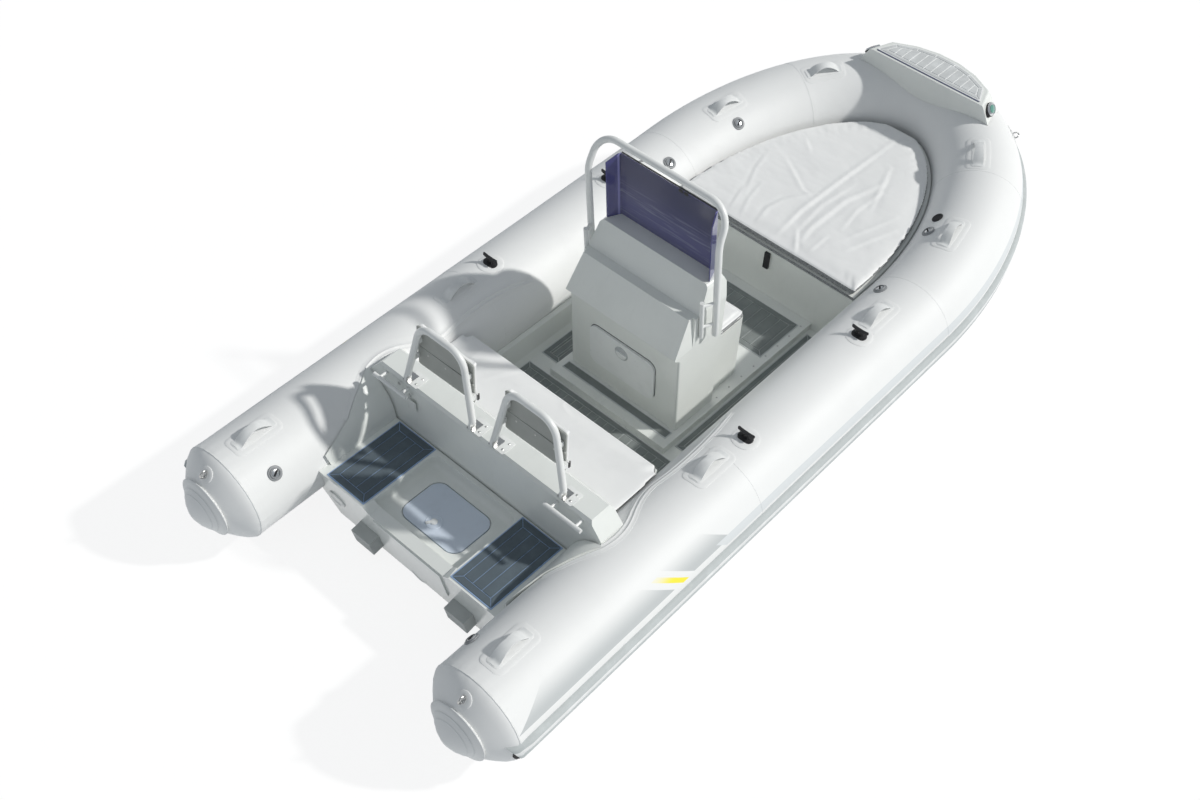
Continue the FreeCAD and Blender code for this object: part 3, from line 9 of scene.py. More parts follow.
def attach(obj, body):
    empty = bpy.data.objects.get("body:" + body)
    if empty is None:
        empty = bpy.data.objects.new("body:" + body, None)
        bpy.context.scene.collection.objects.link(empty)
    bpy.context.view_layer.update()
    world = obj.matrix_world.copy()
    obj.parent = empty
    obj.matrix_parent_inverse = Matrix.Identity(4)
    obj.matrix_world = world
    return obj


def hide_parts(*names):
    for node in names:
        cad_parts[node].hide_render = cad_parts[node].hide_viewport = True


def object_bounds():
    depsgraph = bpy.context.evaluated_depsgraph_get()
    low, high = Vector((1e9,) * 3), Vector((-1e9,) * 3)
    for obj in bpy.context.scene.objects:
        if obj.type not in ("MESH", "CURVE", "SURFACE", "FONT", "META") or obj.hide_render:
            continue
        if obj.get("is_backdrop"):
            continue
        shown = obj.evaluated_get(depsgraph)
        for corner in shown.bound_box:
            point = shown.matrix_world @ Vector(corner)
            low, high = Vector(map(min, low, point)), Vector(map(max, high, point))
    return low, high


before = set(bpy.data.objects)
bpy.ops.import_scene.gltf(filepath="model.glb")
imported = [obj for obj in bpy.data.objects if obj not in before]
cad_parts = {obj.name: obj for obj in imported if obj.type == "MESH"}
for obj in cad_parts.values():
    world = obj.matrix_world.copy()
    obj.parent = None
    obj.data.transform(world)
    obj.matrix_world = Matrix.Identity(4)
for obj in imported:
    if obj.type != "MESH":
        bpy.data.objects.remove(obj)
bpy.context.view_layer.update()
scene = bpy.context.scene
scene.view_settings.view_transform = "Standard"

# Camera, solved from the photograph. Its axes point right, up and back.
CAMERA_PLACE = (-2.31, -2.961, 5.488)
CAMERA_AXES = ((0.6729, -0.7386, 0.0399), (0.535, 0.5232, 0.6633), (-0.5108, -0.425, 0.7473))
camera_data = bpy.data.cameras.new("camera")
camera_data.lens = 44.0
camera_data.sensor_width = 36.0
camera_data.clip_end = 200.0
camera = bpy.data.objects.new("camera", camera_data)
scene.collection.objects.link(camera)
camera.matrix_world = Matrix.Translation(CAMERA_PLACE) @ Matrix(CAMERA_AXES).transposed().to_4x4()
scene.camera = camera
SIDES = ((1, "port"), (-1, "starboard"))


class Wire:
    """An output of a node. It adds, multiplies and compares as a number does, and | takes the larger."""

    def __init__(self, finish, socket):
        self.finish = finish
        self.socket = socket

    def maths(self, operation, *values):
        return self.finish.node("ShaderNodeMath", {"operation": operation}, dict(enumerate(values)))

    def __add__(self, other):
        return self.maths("ADD", self, other)

    def __sub__(self, other):
        return self.maths("SUBTRACT", self, other)

    def __rsub__(self, other):
        return self.maths("SUBTRACT", other, self)

    def __mul__(self, other):
        return self.maths("MULTIPLY", self, other)

    def __lt__(self, other):
        return self.maths("LESS_THAN", self, other)

    def __or__(self, other):
        return self.maths("MAXIMUM", self, other)

    def __abs__(self):
        return self.maths("ABSOLUTE", self)

    __radd__ = __add__
    __rmul__ = __mul__

    def part(self, axis):
        """One of the three numbers of a vector."""
        return self.finish.node("ShaderNodeSeparateXYZ", {}, {0: self}, axis)

    def ease(self, low, high):
        """0 below low, 1 above high and a soft step between them."""
        settings = {"interpolation_type": "SMOOTHSTEP"}
        return self.finish.node("ShaderNodeMapRange", settings, {0: self, 1: low, 2: high, 3: 0.0, 4: 1.0})


class Finish:
    """A material, or a world, with its surface and the one method that makes its nodes."""

    def __init__(self, name, world=None, **constants):
        self.material = world or bpy.data.materials.new(name)
        self.material.use_nodes = True
        self.tree = self.material.node_tree
        self.surface = self.tree.nodes["Background" if world else "Principled BSDF"]
        for socket, value in constants.items():
            self.set(socket.replace("_", " "), value)

    def feed(self, socket, value):
        if isinstance(value, Wire):
            self.tree.links.new(value.socket, socket)
        elif isinstance(value, tuple) and socket.type == "RGBA":
            socket.default_value = (*value, 1.0)
        else:
            socket.default_value = value

    def node(self, kind, settings, sockets, out=0):
        made = self.tree.nodes.new(kind)
        for name, value in settings.items():
            setattr(made, name, value)
        for name, value in sockets.items():
            self.feed(made.inputs[name], value)
        return Wire(self, made.outputs[out])

    def set(self, name, value):
        self.feed(self.surface.inputs[name], value)

    def dressed(self, tone, roughness, normal):
        """Sets what varies over the surface, and gives the material."""
        self.set("Base Color", tone)
        self.set("Roughness", roughness)
        self.set("Normal", normal)
        return self.material

    def show(self, shader, output):
        self.tree.links.new(shader.socket, self.tree.nodes[output].inputs["Surface"])

    def ray(self, kind):
        return self.node("ShaderNodeLightPath", {}, {}, "Is %s Ray" % kind)

    def place(self):
        return self.node("ShaderNodeTexCoord", {}, {}, "Object")

    def stretch(self, vector, scale):
        return self.node("ShaderNodeVectorMath", {"operation": "MULTIPLY"}, {0: vector, 1: scale})

    def cloud(self, vector, scale, detail=2.0, roughness=0.5):
        sockets = {"Vector": vector, "Scale": scale, "Detail": detail, "Roughness": roughness}
        return self.node("ShaderNodeTexNoise", {}, sockets)

    def cells(self, vector, scale, out="Distance"):
        return self.node("ShaderNodeTexVoronoi", {}, {"Vector": vector, "Scale": scale}, out)

    def blend(self, share, first, second):
        settings = {"data_type": "RGBA", "clamp_factor": True}
        return self.node("ShaderNodeMix", settings, {0: share, 6: first, 7: second}, 2)

    def bump(self, height, distance, strength, under=None):
        sockets = {"Height": height, "Distance": distance, "Strength": strength}
        if under is not None:
            sockets["Normal"] = under
        return self.node("ShaderNodeBump", {}, sockets)


def shade(colour, by):
    """The same colour, darker or lighter."""
    return tuple(min(1.0, c * by) for c in colour)


def gelcoat(name, colour, gloss=0.24):
    """Sprayed polyester: a hard glossy coat with a faint orange peel and a little dust."""
    finish = Finish(name, Coat_Weight=0.35, Coat_Roughness=0.08, IOR=1.5)
    place = finish.place()
    dust = finish.cloud(place, 5.0, 4.0, 0.6)
    streak = finish.cloud(finish.stretch(place, (2.0, 9.0, 3.0)), 4.0, 3.0)
    tone = finish.blend(dust.ease(0.42, 0.72) * 0.55, colour, shade(colour, 0.94))
    tone = finish.blend(streak.ease(0.55, 0.8) * 0.3, tone, shade(colour, 0.9))
    specks = finish.cells(place, 260.0) < 0.1
    tone = finish.blend(specks * dust.ease(0.5, 0.7) * 0.25, tone, shade(colour, 0.7))
    wave = finish.bump(finish.cloud(place, 9.0, 1.0), 0.0012, 0.35)
    peel = finish.bump(finish.cloud(place, 330.0, 1.0), 0.0002, 0.22, wave)
    return finish.dressed(tone, dust * 0.16 + gloss, peel)


def moulded_plastic(name, colour, roughness):
    """Injection-moulded plastic with a fine spark-eroded grain."""
    finish = Finish(name, IOR=1.49)
    place = finish.place()
    handled = finish.cloud(place, 14.0, 3.0)
    tone = finish.blend(handled.ease(0.45, 0.75) * 0.5, colour, shade(colour, 0.9))
    grain = finish.bump(finish.cells(place, 700.0), 0.00012, 0.4)
    return finish.dressed(tone, handled * 0.2 + roughness, grain)


def metal(name, colour, roughness, brushed):
    """Polished or brushed metal with fine lines along its length."""
    finish = Finish(name, Metallic=1.0)
    place = finish.place()
    lines = finish.cloud(finish.stretch(place, brushed), 60.0, 3.0)
    smear = finish.cloud(place, 20.0, 2.0)
    tone = finish.blend(smear.ease(0.4, 0.8), colour, shade(colour, 0.85))
    return finish.dressed(tone, lines * 0.16 + smear * 0.1 + roughness, finish.bump(lines, 0.0001, 0.2))


def rail_paint(name, colour):
    """Powder coat on the rails: satin white with a fine texture."""
    finish = Finish(name, Coat_Weight=0.2, Coat_Roughness=0.25)
    place = finish.place()
    worn = finish.cloud(place, 11.0, 4.0)
    tone = finish.blend(worn.ease(0.5, 0.75) * 0.5, colour, shade(colour, 0.93))
    texture = finish.bump(finish.cloud(place, 900.0, 1.0), 0.00015, 0.3)
    return finish.dressed(tone, worn * 0.18 + 0.3, texture)


def rubber(name, colour, roughness=0.55):
    """Moulded rubber or PVC trim with a dull bloom."""
    finish = Finish(name, IOR=1.48)
    place = finish.place()
    bloom = finish.cloud(place, 16.0, 4.0, 0.6)
    tone = finish.blend(bloom.ease(0.4, 0.75), colour, shade(colour, 1.12))
    grain = finish.bump(finish.cloud(place, 420.0), 0.0002, 0.3)
    return finish.dressed(tone, bloom * 0.2 + roughness, grain)


def coated_cloth(name, colour, printed=False):
    """Tube fabric: PVC-coated cloth whose base weave shows faintly through the coating."""
    finish = Finish(name, Sheen_Weight=0.05, Sheen_Roughness=0.4, IOR=1.46)
    place = finish.place()
    soil = finish.cloud(place, 3.2, 4.0, 0.6)
    tone = finish.blend(soil.ease(0.45, 0.8) * 0.6, colour, shade(colour, 0.955))
    if printed:
        tone = printed_bands(finish, finish.node("ShaderNodeUVMap", {"uv_map": "skin"}, {}), tone)
    threads = finish.stretch(place, (1500.0, 1500.0, 1500.0))
    weave = finish.node("ShaderNodeVectorMath", {"operation": "SINE"}, {0: threads})
    woven = weave.part(0) * weave.part(1) + weave.part(2) * 0.5
    soft = finish.bump(finish.cloud(place, 7.0, 2.0), 0.004, 0.25)
    return finish.dressed(tone, soil * 0.14 + 0.48, finish.bump(woven, 0.00008, 0.2, soft))


# The tubes' printed bands, laid out by metres from the stern seam and degrees above level.
BAND_GREY = (0.7, 0.725, 0.735)
PANEL_GREY = (0.48, 0.505, 0.51)
SLASH_YELLOW = (0.95, 0.83, 0.06)


def printed_bands(finish, skin, tone):
    """Lays the panels, the slash and the long band over the cloth's tone."""
    along = skin.part(0)
    lift = skin.part(1) * 360.0
    outer = lift < 90.0
    forward = along - (45.0 - lift) * 0.00537

    def window(value, low, high, soft=0.003):
        return value.ease(low - soft, low + soft) * (1.0 - value.ease(high - soft, high + soft))

    # Two soft panels near the stern, dark at their foot and fading out above.
    fade = 1.0 - lift.ease(24.0, 50.0)
    foot = lift.ease(19.6, 20.2)
    stern_cut = along - (lift - 22.0) * 0.0066
    aft_panel = stern_cut.ease(0.012, 0.018) * (1.0 - forward.ease(0.785, 0.791))
    fore_panel = forward.ease(0.913, 0.919) * (1.0 - forward.ease(1.165, 1.175))
    shadow = fade * 0.75 + 0.1 * (1.0 - lift.ease(44.0, 52.0))
    tone = finish.blend(foot * (aft_panel + fore_panel) * outer * shadow, tone, PANEL_GREY)
    slash = window(forward, 0.834, 0.872, 0.002) * window(lift, 18.5, 45.5, 0.4)
    tone = finish.blend(slash * outer * (1.0 - 0.8 * lift.ease(30.0, 46.0)), tone, SLASH_YELLOW)
    # The long band above the rub strake, from the fore panel round the bow.
    band = window(lift, 14.2, 25.2, 0.25) * forward.ease(1.09, 1.1)
    return finish.blend(band * outer, tone, BAND_GREY)


def padded_cover(name, colour):
    """White cushion cover: supple vinyl with a pebble grain."""
    finish = Finish(name, Sheen_Weight=0.08, Sheen_Roughness=0.5, IOR=1.46)
    place = finish.place()
    crease = finish.cloud(place, 6.0, 4.0, 0.6)
    tone = finish.blend(crease.ease(0.45, 0.75) * 0.6, colour, shade(colour, 0.95))
    folds = finish.bump(finish.cloud(place, 24.0, 3.0, 0.6), 0.002, 0.25)
    pebbles = finish.bump(finish.cells(place, 900.0), 0.00012, 0.3, folds)
    return finish.dressed(tone, crease * 0.15 + 0.42, pebbles)


def speckled_edge(name):
    """Grey mesh webbing round the cushion's edge, flecked light and dark."""
    finish = Finish(name, Sheen_Weight=0.1)
    place = finish.place()
    fleck = finish.cells(place, 620.0, "Color").part(0)
    tone = finish.blend(fleck.ease(0.35, 0.6), (0.07, 0.075, 0.08), (0.42, 0.43, 0.43))
    return finish.dressed(tone, fleck * 0.2 + 0.65, finish.bump(finish.cells(place, 620.0), 0.0008, 0.6))


def deck_foam(name, colour):
    """Closed-cell deck foam with a brushed, slightly rough top."""
    finish = Finish(name, IOR=1.4)
    place = finish.place()
    scuffs = finish.cloud(place, 10.0, 5.0, 0.65)
    brushed = finish.cloud(finish.stretch(place, (0.12, 1.0, 1.0)), 900.0, 2.0)
    tone = finish.blend(scuffs.ease(0.4, 0.8) * 0.8, colour, shade(colour, 1.35))
    tone = finish.blend(brushed.ease(0.5, 0.9) * 0.35, tone, shade(colour, 1.6))
    pores = finish.cells(place, 1400.0)
    return finish.dressed(tone, scuffs * 0.15 + 0.68, finish.bump(pores + brushed, 0.0003, 0.5))


def tinted_acrylic(name):
    """Smoked acrylic: dark indigo, paler on the two wings, with a painted highlight along the heated bends.
    """
    finish = Finish(name, IOR=1.49, Coat_Weight=0.6, Coat_Roughness=0.02)
    place = finish.place()
    low = 1.0 - place.part(2).ease(1.06, 1.36)
    beside = abs(place.part(1))
    wing = beside.ease(0.274, 0.279)
    bend_highlight = beside.ease(0.2725, 0.274) * (1.0 - beside.ease(0.277, 0.2785))
    pale_streaks = finish.cloud(finish.stretch(place, (2.0, 1.6, 34.0)), 3.0, 3.0)
    tone = finish.blend(low, (0.078, 0.077, 0.15), (0.13, 0.129, 0.275))
    # Paler streaks, mostly low on the screen; the same noise varies the roughness.
    tone = finish.blend(pale_streaks.ease(0.52, 0.66) * low.ease(0.2, 0.6) * 0.55, tone, (0.3, 0.31, 0.42))
    tone = finish.blend(wing, tone, (0.08, 0.078, 0.26))
    # A bright line along the bends: painted highlight.
    finish.set("Base Color", finish.blend(bend_highlight * 0.85, tone, (0.32, 0.31, 0.66)))
    finish.set("Roughness", pale_streaks * 0.05 + 0.03)
    finish.set("Alpha", 0.93 - wing * 0.1)
    return finish.material


GEL = gelcoat("boat_gelcoat", (0.815, 0.835, 0.805))
LID = gelcoat("lid_gelcoat", (0.79, 0.805, 0.78), 0.28)
# The well hatch is white plastic; its pale blue tint is a painted reflection of the sky.
HATCH_PAINTED_SKY_BLUE = moulded_plastic("hatch_plastic", (0.66, 0.73, 0.83), 0.12)
PALE_HATCH = moulded_plastic("pale_hatch_plastic", (0.83, 0.845, 0.84), 0.22)
PULL = moulded_plastic("hatch_pull_plastic", (0.5, 0.52, 0.53), 0.25)
CLOTH = coated_cloth("tube_cloth_printed", (0.85, 0.853, 0.845), printed=True)
PATCH = coated_cloth("tube_cloth_patch", (0.84, 0.843, 0.835))
STRAKE = rubber("strake_rubber", (0.5, 0.53, 0.53))
PALE_RUBBER = rubber("pale_rubber", (0.76, 0.77, 0.765), 0.42)
COVER = padded_cover("cushion_cover", (0.86, 0.862, 0.855))
MESH_EDGE = speckled_edge("cushion_mesh_edge")
# The step pads' foam and its lines are darker and bluer than the same foam elsewhere: painted shade.
STEP_FOAM_PAINTED_SHADE = deck_foam("step_foam_painted_shade", (0.1, 0.128, 0.15))
STEP_LINE_PAINTED_SHADE = deck_foam("step_foam_line_painted_shade", (0.3, 0.42, 0.62))
DECK_FOAM = deck_foam("deck_foam", (0.215, 0.235, 0.23))
CHOCK_FOAM = deck_foam("bow_step_foam", (0.6, 0.615, 0.615))
WHITE_LINE = deck_foam("bow_step_line", (0.86, 0.865, 0.86))
PALE_LINE = deck_foam("deck_foam_line", (0.56, 0.585, 0.59))
RAIL = rail_paint("rail_paint", (0.82, 0.83, 0.815))
STEEL = metal("stainless", (0.62, 0.62, 0.61), 0.16, (1.0, 14.0, 14.0))
CHROME = metal("lamp_chrome", (0.8, 0.81, 0.82), 0.05, (3.0, 3.0, 3.0))
SCREEN = tinted_acrylic("smoked_acrylic")
BLACK = moulded_plastic("black_plastic", (0.018, 0.018, 0.02), 0.38)
BLACK_RUBBER = rubber("black_rubber", (0.022, 0.022, 0.024), 0.6)
GREY_PLASTIC = moulded_plastic("grey_plastic", (0.3, 0.31, 0.32), 0.4)
# The scupper boxes are gelcoat, given the grey that gelcoat shows in shade: painted shade.
SCUPPER_PAINTED_SHADE = moulded_plastic("scupper_gelcoat_painted_shade", (0.5, 0.52, 0.51), 0.45)
# A dark blue strip along the bow step's aft edge stands for that edge's shadow: painted shadow.
BOW_STEP_SHADOW_PAINT = rubber("bow_step_painted_shadow", (0.1, 0.11, 0.2), 0.5)
BOARD = moulded_plastic("backrest_board", (0.4, 0.41, 0.385), 0.5)
GREEN_LENS = moulded_plastic("green_lens", (0.14, 0.34, 0.28), 0.08)
RED_LENS = moulded_plastic("red_lens", (0.4, 0.03, 0.03), 0.08)

NODE_FINISH = {
    GEL: ("hull", "deck", "aft_well", "stern_beam", "seat_base", "bow_locker", "console",
          "fore_seat_base", "bow_chock", "transom"),
    LID: ("bow_lid", "seat_lid", "fore_seat_lid"),
    HATCH_PAINTED_SKY_BLUE: ("well_hatch",),
    PALE_HATCH: ("console_hatch",),
    PALE_RUBBER: ("handles",),
    STRAKE: ("rub_strake_port", "rub_strake_starboard", "rub_strake_bow"),
    CLOTH: ("tube_port", "tube_starboard", "tube_bow", "cone_port", "cone_starboard"),
    COVER: ("bow_cushion", "seat_cushion", "fore_seat_cushion", "backrest_port", "backrest_starboard"),
    STEP_FOAM_PAINTED_SHADE: ("deck_pads", "step_pads", "bow_step_pad"),
    RAIL: ("handrail", "hoop_port", "hoop_starboard", "grab_rails"),
    STEEL: ("backrest_brackets", "bow_rings", "tow_eyes"),
    CHROME: ("nav_lights",),
    SCREEN: ("windscreen",),
    BLACK: ("cleats", "locker_latch"),
    GREY_PLASTIC: ("valves",),
    SCUPPER_PAINTED_SHADE: ("scuppers",),
}
for finish, nodes in NODE_FINISH.items():
    for node in nodes:
        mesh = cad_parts[node].data
        mesh.materials.clear()
        mesh.materials.append(finish)


def finished(name, bm, finishes, slot, body="boat", stands_for=(), sharp=35.0):
    """Makes a piece of a bmesh: its finishes, its body, and the nodes that it stands for."""
    mesh = bpy.data.meshes.new(name)
    bm.to_mesh(mesh)
    bm.free()
    for finish in finishes:
        mesh.materials.append(finish)
    for face in mesh.polygons:
        face.use_smooth = True
    mesh.set_sharp_from_angle(angle=math.radians(sharp))
    piece = bpy.data.objects.new(name, mesh)
    scene.collection.objects.link(piece)
    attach(piece, body)
    if stands_for:
        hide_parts(*stands_for)
    return piece


# The buoyancy tube. Its centre line starts at the stern seam, runs forward and up, and
# turns round the bow as half an ellipse. Along is metres from the stern seam on one side.
RADIUS = 0.24
OFFSET = 0.79
SEAM = Vector((-0.333, 0.0, 0.326))
JOINT = Vector((2.64, 0.0, 0.4))
REACH = 1.339
RISE = 0.11
STRAIGHT = (JOINT - SEAM).length
BEND_STEPS = 400


def bow_place(angle):
    """The centre line on the port side of the bow, a quarter turn from the joint to the middle."""
    far = math.sin(angle)
    return Vector((JOINT.x + REACH * far, OFFSET * math.cos(angle), JOINT.z + RISE * far))


STEP_TURN = math.pi / 2 / BEND_STEPS
bend_lengths = [0.0]
for step in range(BEND_STEPS):
    chord = bow_place((step + 1) * STEP_TURN) - bow_place(step * STEP_TURN)
    bend_lengths.append(bend_lengths[-1] + chord.length)
HALF_LENGTH = STRAIGHT + bend_lengths[-1]


def bend_angle(length):
    """The ellipse's angle at a length of tube past the joint."""
    low = min(max(bisect.bisect_right(bend_lengths, length) - 1, 0), BEND_STEPS - 1)
    share = (length - bend_lengths[low]) / (bend_lengths[low + 1] - bend_lengths[low])
    return (low + min(max(share, 0.0), 1.0)) * STEP_TURN


def tube_frame(along, side):
    """Centre of the tube's ring, and its ahead, outward and upward directions."""
    if along <= STRAIGHT:
        ahead = (JOINT - SEAM).normalized()
        centre = SEAM + ahead * along + Vector((0.0, side * OFFSET, 0.0))
    else:
        angle = bend_angle(min(along, HALF_LENGTH) - STRAIGHT)
        centre = bow_place(angle)
        centre.y *= side
        ahead = Vector((REACH * math.cos(angle), -side * OFFSET * math.sin(angle),
                        RISE * math.cos(angle))).normalized()
    outward = Vector((0.0, 0.0, 1.0)).cross(ahead).normalized() * side
    upward = ahead.cross(outward * side).normalized()
    return centre, ahead, outward, upward


CONE_SHAPE = ((0.0, 0.24), (0.012, 0.2375), (0.035, 0.2235), (0.064, 0.1955), (0.094, 0.1615),
              (0.108, 0.1425), (0.1125, 0.1495), (0.1215, 0.1445), (0.126, 0.1265),
              (0.146, 0.101), (0.167, 0.069), (0.181, 0.033), (0.187, 0.0))


def tube_radius(along):
    """The tube's radius, which falls over the end cone aft of the seam."""
    if along >= 0.0:
        return RADIUS
    for (x0, r0), (x1, r1) in zip(CONE_SHAPE, CONE_SHAPE[1:]):
        if -along <= x1:
            return r0 + (r1 - r0) * (-along - x0) / (x1 - x0)
    return 0.0


def skin_matrix(along, side, lift, out=0.0):
    """A frame on the skin: X ahead, Z straight out. Lift is degrees above level on the outer side."""
    centre, ahead, outward, upward = tube_frame(along, side)
    turn = math.radians(lift)
    normal = outward * math.cos(turn) + upward * math.sin(turn)
    matrix = Matrix((ahead, normal.cross(ahead), normal)).transposed().to_4x4()
    matrix.translation = centre + normal * (tube_radius(along) + out)
    return matrix


def on_skin(along, side, lift, out=0.0):
    return skin_matrix(along, side, lift, out).translation


def along_of(x):
    """Metres of tube from the stern seam to the ring whose centre lies at X."""
    if x <= JOINT.x:
        return (x - SEAM.x) / (JOINT - SEAM).normalized().x
    place = math.asin(min((x - JOINT.x) / REACH, 1.0)) / STEP_TURN
    low = min(int(place), BEND_STEPS - 1)
    return STRAIGHT + bend_lengths[low] + (bend_lengths[low + 1] - bend_lengths[low]) * (place - low)


def grid_on_tube(rows, lifts, out_of, closed=False, shift=None):
    """A grid wrapped on the tube: rows of (along, side), lifts in degrees, and a height for each."""
    bm = bmesh.new()
    uv = bm.loops.layers.uv.new("skin")
    bmesh.ops.create_grid(bm, x_segments=len(rows) - 1, y_segments=len(lifts) - 1, size=1.0)
    spots = {}
    for vert in bm.verts:
        i = round((vert.co.x + 1.0) / 2.0 * (len(rows) - 1))
        j = round((vert.co.y + 1.0) / 2.0 * (len(lifts) - 1))
        along, side = rows[i]
        out = out_of(along, side, lifts[j])
        if shift:
            along += shift(along, lifts[j])
        spots[vert] = (along, lifts[j])
        vert.co = on_skin(along, side, lifts[j], out)
    for face in bm.faces:
        for loop in face.loops:
            along, lift = spots[loop.vert]
            loop[uv].uv = (along, lift / 360.0)
    if closed:
        bmesh.ops.remove_doubles(bm, verts=bm.verts, dist=0.00002)
    return bm


def spread(low, high, count):
    return [low + (high - low) * i / count for i in range(count + 1)]


def there_and_back(alongs):
    """The same stations up the port side and back down the starboard side."""
    return [(a, 1) for a in alongs] + [(a, -1) for a in reversed(alongs[:-1])]


BETWEEN = {-0.006, -0.024, -0.05, -0.079, -0.117, -0.136, -0.157, -0.175, -0.185}
cone_stations = sorted(BETWEEN | {-x for x, r in CONE_SHAPE[1:]})
tube_stations = cone_stations + spread(0.0, STRAIGHT, 66)[:-1] + spread(STRAIGHT, HALF_LENGTH, 60)


def skin_puckers(along, side, lift):
    """Small gathers where the fabric is drawn in at the cones and the glued seams."""
    near_cone = math.exp(-max(along, 0.0) / 0.035) * math.exp(min(along, 0.0) / 0.02)
    rise = 0.0012 * near_cone * math.cos(math.radians(lift) * 26.0)
    if along > 0.0:
        rise += 0.0012 * noise.noise(Vector((along * 2.2, side * 3.0, lift / 48.0))) - 0.0006
    return rise


ALL_ROUND = spread(-180.0, 180.0, 88)
skin = grid_on_tube(there_and_back(tube_stations), ALL_ROUND, skin_puckers, closed=True)
bmesh.ops.recalc_face_normals(skin, faces=skin.faces)
finished("tube_skin", skin, [CLOTH], "tube_fabric",
         stands_for=("tube_port", "tube_starboard", "tube_bow", "cone_port", "cone_starboard"), sharp=60.0)


# Rub strake: two ribbed grey flanks and a white bead between them, round the whole boat.
STRAKE_SHAPE = ((-11.3, -0.001), (-11.0, 0.005), (-10.2, 0.012), (-8.8, 0.0185), (-7.4, 0.0195),
                (-6.6, 0.0175), (-5.8, 0.0195), (-4.4, 0.0195), (-3.6, 0.0185), (-3.3, 0.014),
                (-2.6, 0.0175), (-1.4, 0.0198), (0.0, 0.0202))
strake_shape = list(STRAKE_SHAPE) + [(-lift, out) for lift, out in reversed(STRAKE_SHAPE[:-1])]
strake_lifts = [lift for lift, out in strake_shape]
strake_outs = dict(strake_shape)
STRAKE_END = -0.012
BEAD_HALF = 3.3


def strake_out(along, side, lift):
    return -0.001 if along <= STRAKE_END else strake_outs[lift]


def strake_slant(along, lift):
    """The strake's ends are cut on a slant, which fades out over the first 50 mm."""
    return -0.0016 * (lift + 11.0) * max(0.0, 1.0 - along / 0.05)


strake_stations = [STRAKE_END, STRAKE_END + 0.0004] + tube_stations[len(cone_stations):]
strake = grid_on_tube(there_and_back(strake_stations), strake_lifts, strake_out, shift=strake_slant)
uv = strake.loops.layers.uv["skin"]
for face in strake.faces:
    lift = sum(loop[uv].uv.y for loop in face.loops) / len(face.loops) * 360.0
    face.material_index = 1 if abs(lift) < BEAD_HALF else 0
bmesh.ops.recalc_face_normals(strake, faces=strake.faces)
finished("rub_strake", strake, [STRAKE, PALE_RUBBER], "strake_rubber",
         stands_for=("rub_strake_port", "rub_strake_starboard", "rub_strake_bow"))


# Foam pads on the deck: dark planks with mitred borders, routed out of a pale sheet.
PAD_SHEET = 0.0028
PLANK_FOOT = PAD_SHEET - 0.0004
PLANK_TOP = 0.005
PAD_MARGIN = 0.004
CLEAR = 0.0003


def unique(items):
    return list(dict.fromkeys(items))


def planked(bm, corners, z, border, cuts, gap=0.0016):
    """A pale sheet and the planks on it. Cuts are Y places of the lines across the middle.

    The corners run anticlockwise, seen from above.
    """
    before = set(bm.faces)
    z += CLEAR
    sheet = bm.faces.new([bm.verts.new((x, y, z)) for x, y in corners])
    wall = bmesh.ops.extrude_face_region(bm, geom=[sheet])["geom"]
    bmesh.ops.translate(bm, vec=(0, 0, PAD_SHEET),
                        verts=[v for v in wall if isinstance(v, bmesh.types.BMVert)])
    sheet_faces = [face for face in bm.faces if face not in before]
    for face in sheet_faces:
        face.material_index = 1
    bmesh.ops.recalc_face_normals(bm, faces=sheet_faces)
    middle = bm.faces.new([bm.verts.new((x, y, z + PLANK_FOOT)) for x, y in corners])
    middle.normal_update()

    def inset(width):
        return bmesh.ops.inset_region(bm, faces=[middle], thickness=width, use_even_offset=True,
                                      use_boundary=True)["faces"]

    bmesh.ops.delete(bm, geom=inset(PAD_MARGIN), context="FACES")
    planks = [middle] + (inset(border) if border else [])
    inner = [middle]
    for place in cuts:
        geom = unique(inner + [part for face in inner for part in (*face.edges, *face.verts)])
        result = bmesh.ops.bisect_plane(bm, geom=geom, plane_co=(0, place, 0), plane_no=(0, 1, 0))
        inner = [g for g in result["geom"] if isinstance(g, bmesh.types.BMFace) and g.is_valid]
    planks = unique(face for face in planks + inner if face.is_valid)
    bmesh.ops.split_edges(bm, edges=unique(edge for face in planks for edge in face.edges))
    gaps = bmesh.ops.inset_individual(bm, faces=planks, thickness=gap, use_even_offset=True)
    bmesh.ops.delete(bm, geom=gaps["faces"], context="FACES")
    planks = [face for face in planks if face.is_valid]
    tops = bmesh.ops.extrude_discrete_faces(bm, faces=planks)["faces"]
    bmesh.ops.translate(bm, vec=(0, 0, PLANK_TOP - PLANK_FOOT),
                        verts=unique(vert for face in tops for vert in face.verts))
    bmesh.ops.bevel(bm, geom=unique(edge for face in tops for edge in face.edges), offset=0.0006,
                    affect="EDGES", segments=1, profile=0.5, material=-1)


def box_corners(x0, x1, y0, y1):
    return [(x0, y0), (x1, y0), (x1, y1), (x0, y1)]


STEP_TOP, STEP_ENDS, STEP_SIDES, STEP_BORDER = 0.377, (0.012, 0.446), (0.272, 0.512), 0.036
SOLE_TOP, PLINTH_TOP, BORDER = 0.15, 0.19, 0.026
STRIP_ENDS, STRIP_HALF, BRICK = (1.18, 1.286), 0.5, 0.052
LEDGE_ENDS, PLINTH_HALF = (1.345, 1.395), 0.335
WALK_ENDS, WALK_SIDES, WALK_CUTS = (1.37, 2.41), (0.38, 0.498), (0.37, 0.63)
FORE_ENDS, FORE_HALF, FORE_BORDER, FORE_PLANK = (2.08, 2.396), 0.33, 0.03, 0.06
CHOCK_TOP, CHOCK_BORDER, CHOCK_PLANK, CHOCK_GAP = 0.83, 0.024, 0.047, 0.0032
CHOCK_PLAN = ((3.832, -0.332), (3.944, -0.282), (3.998, -0.1705), (4.022, -0.062))

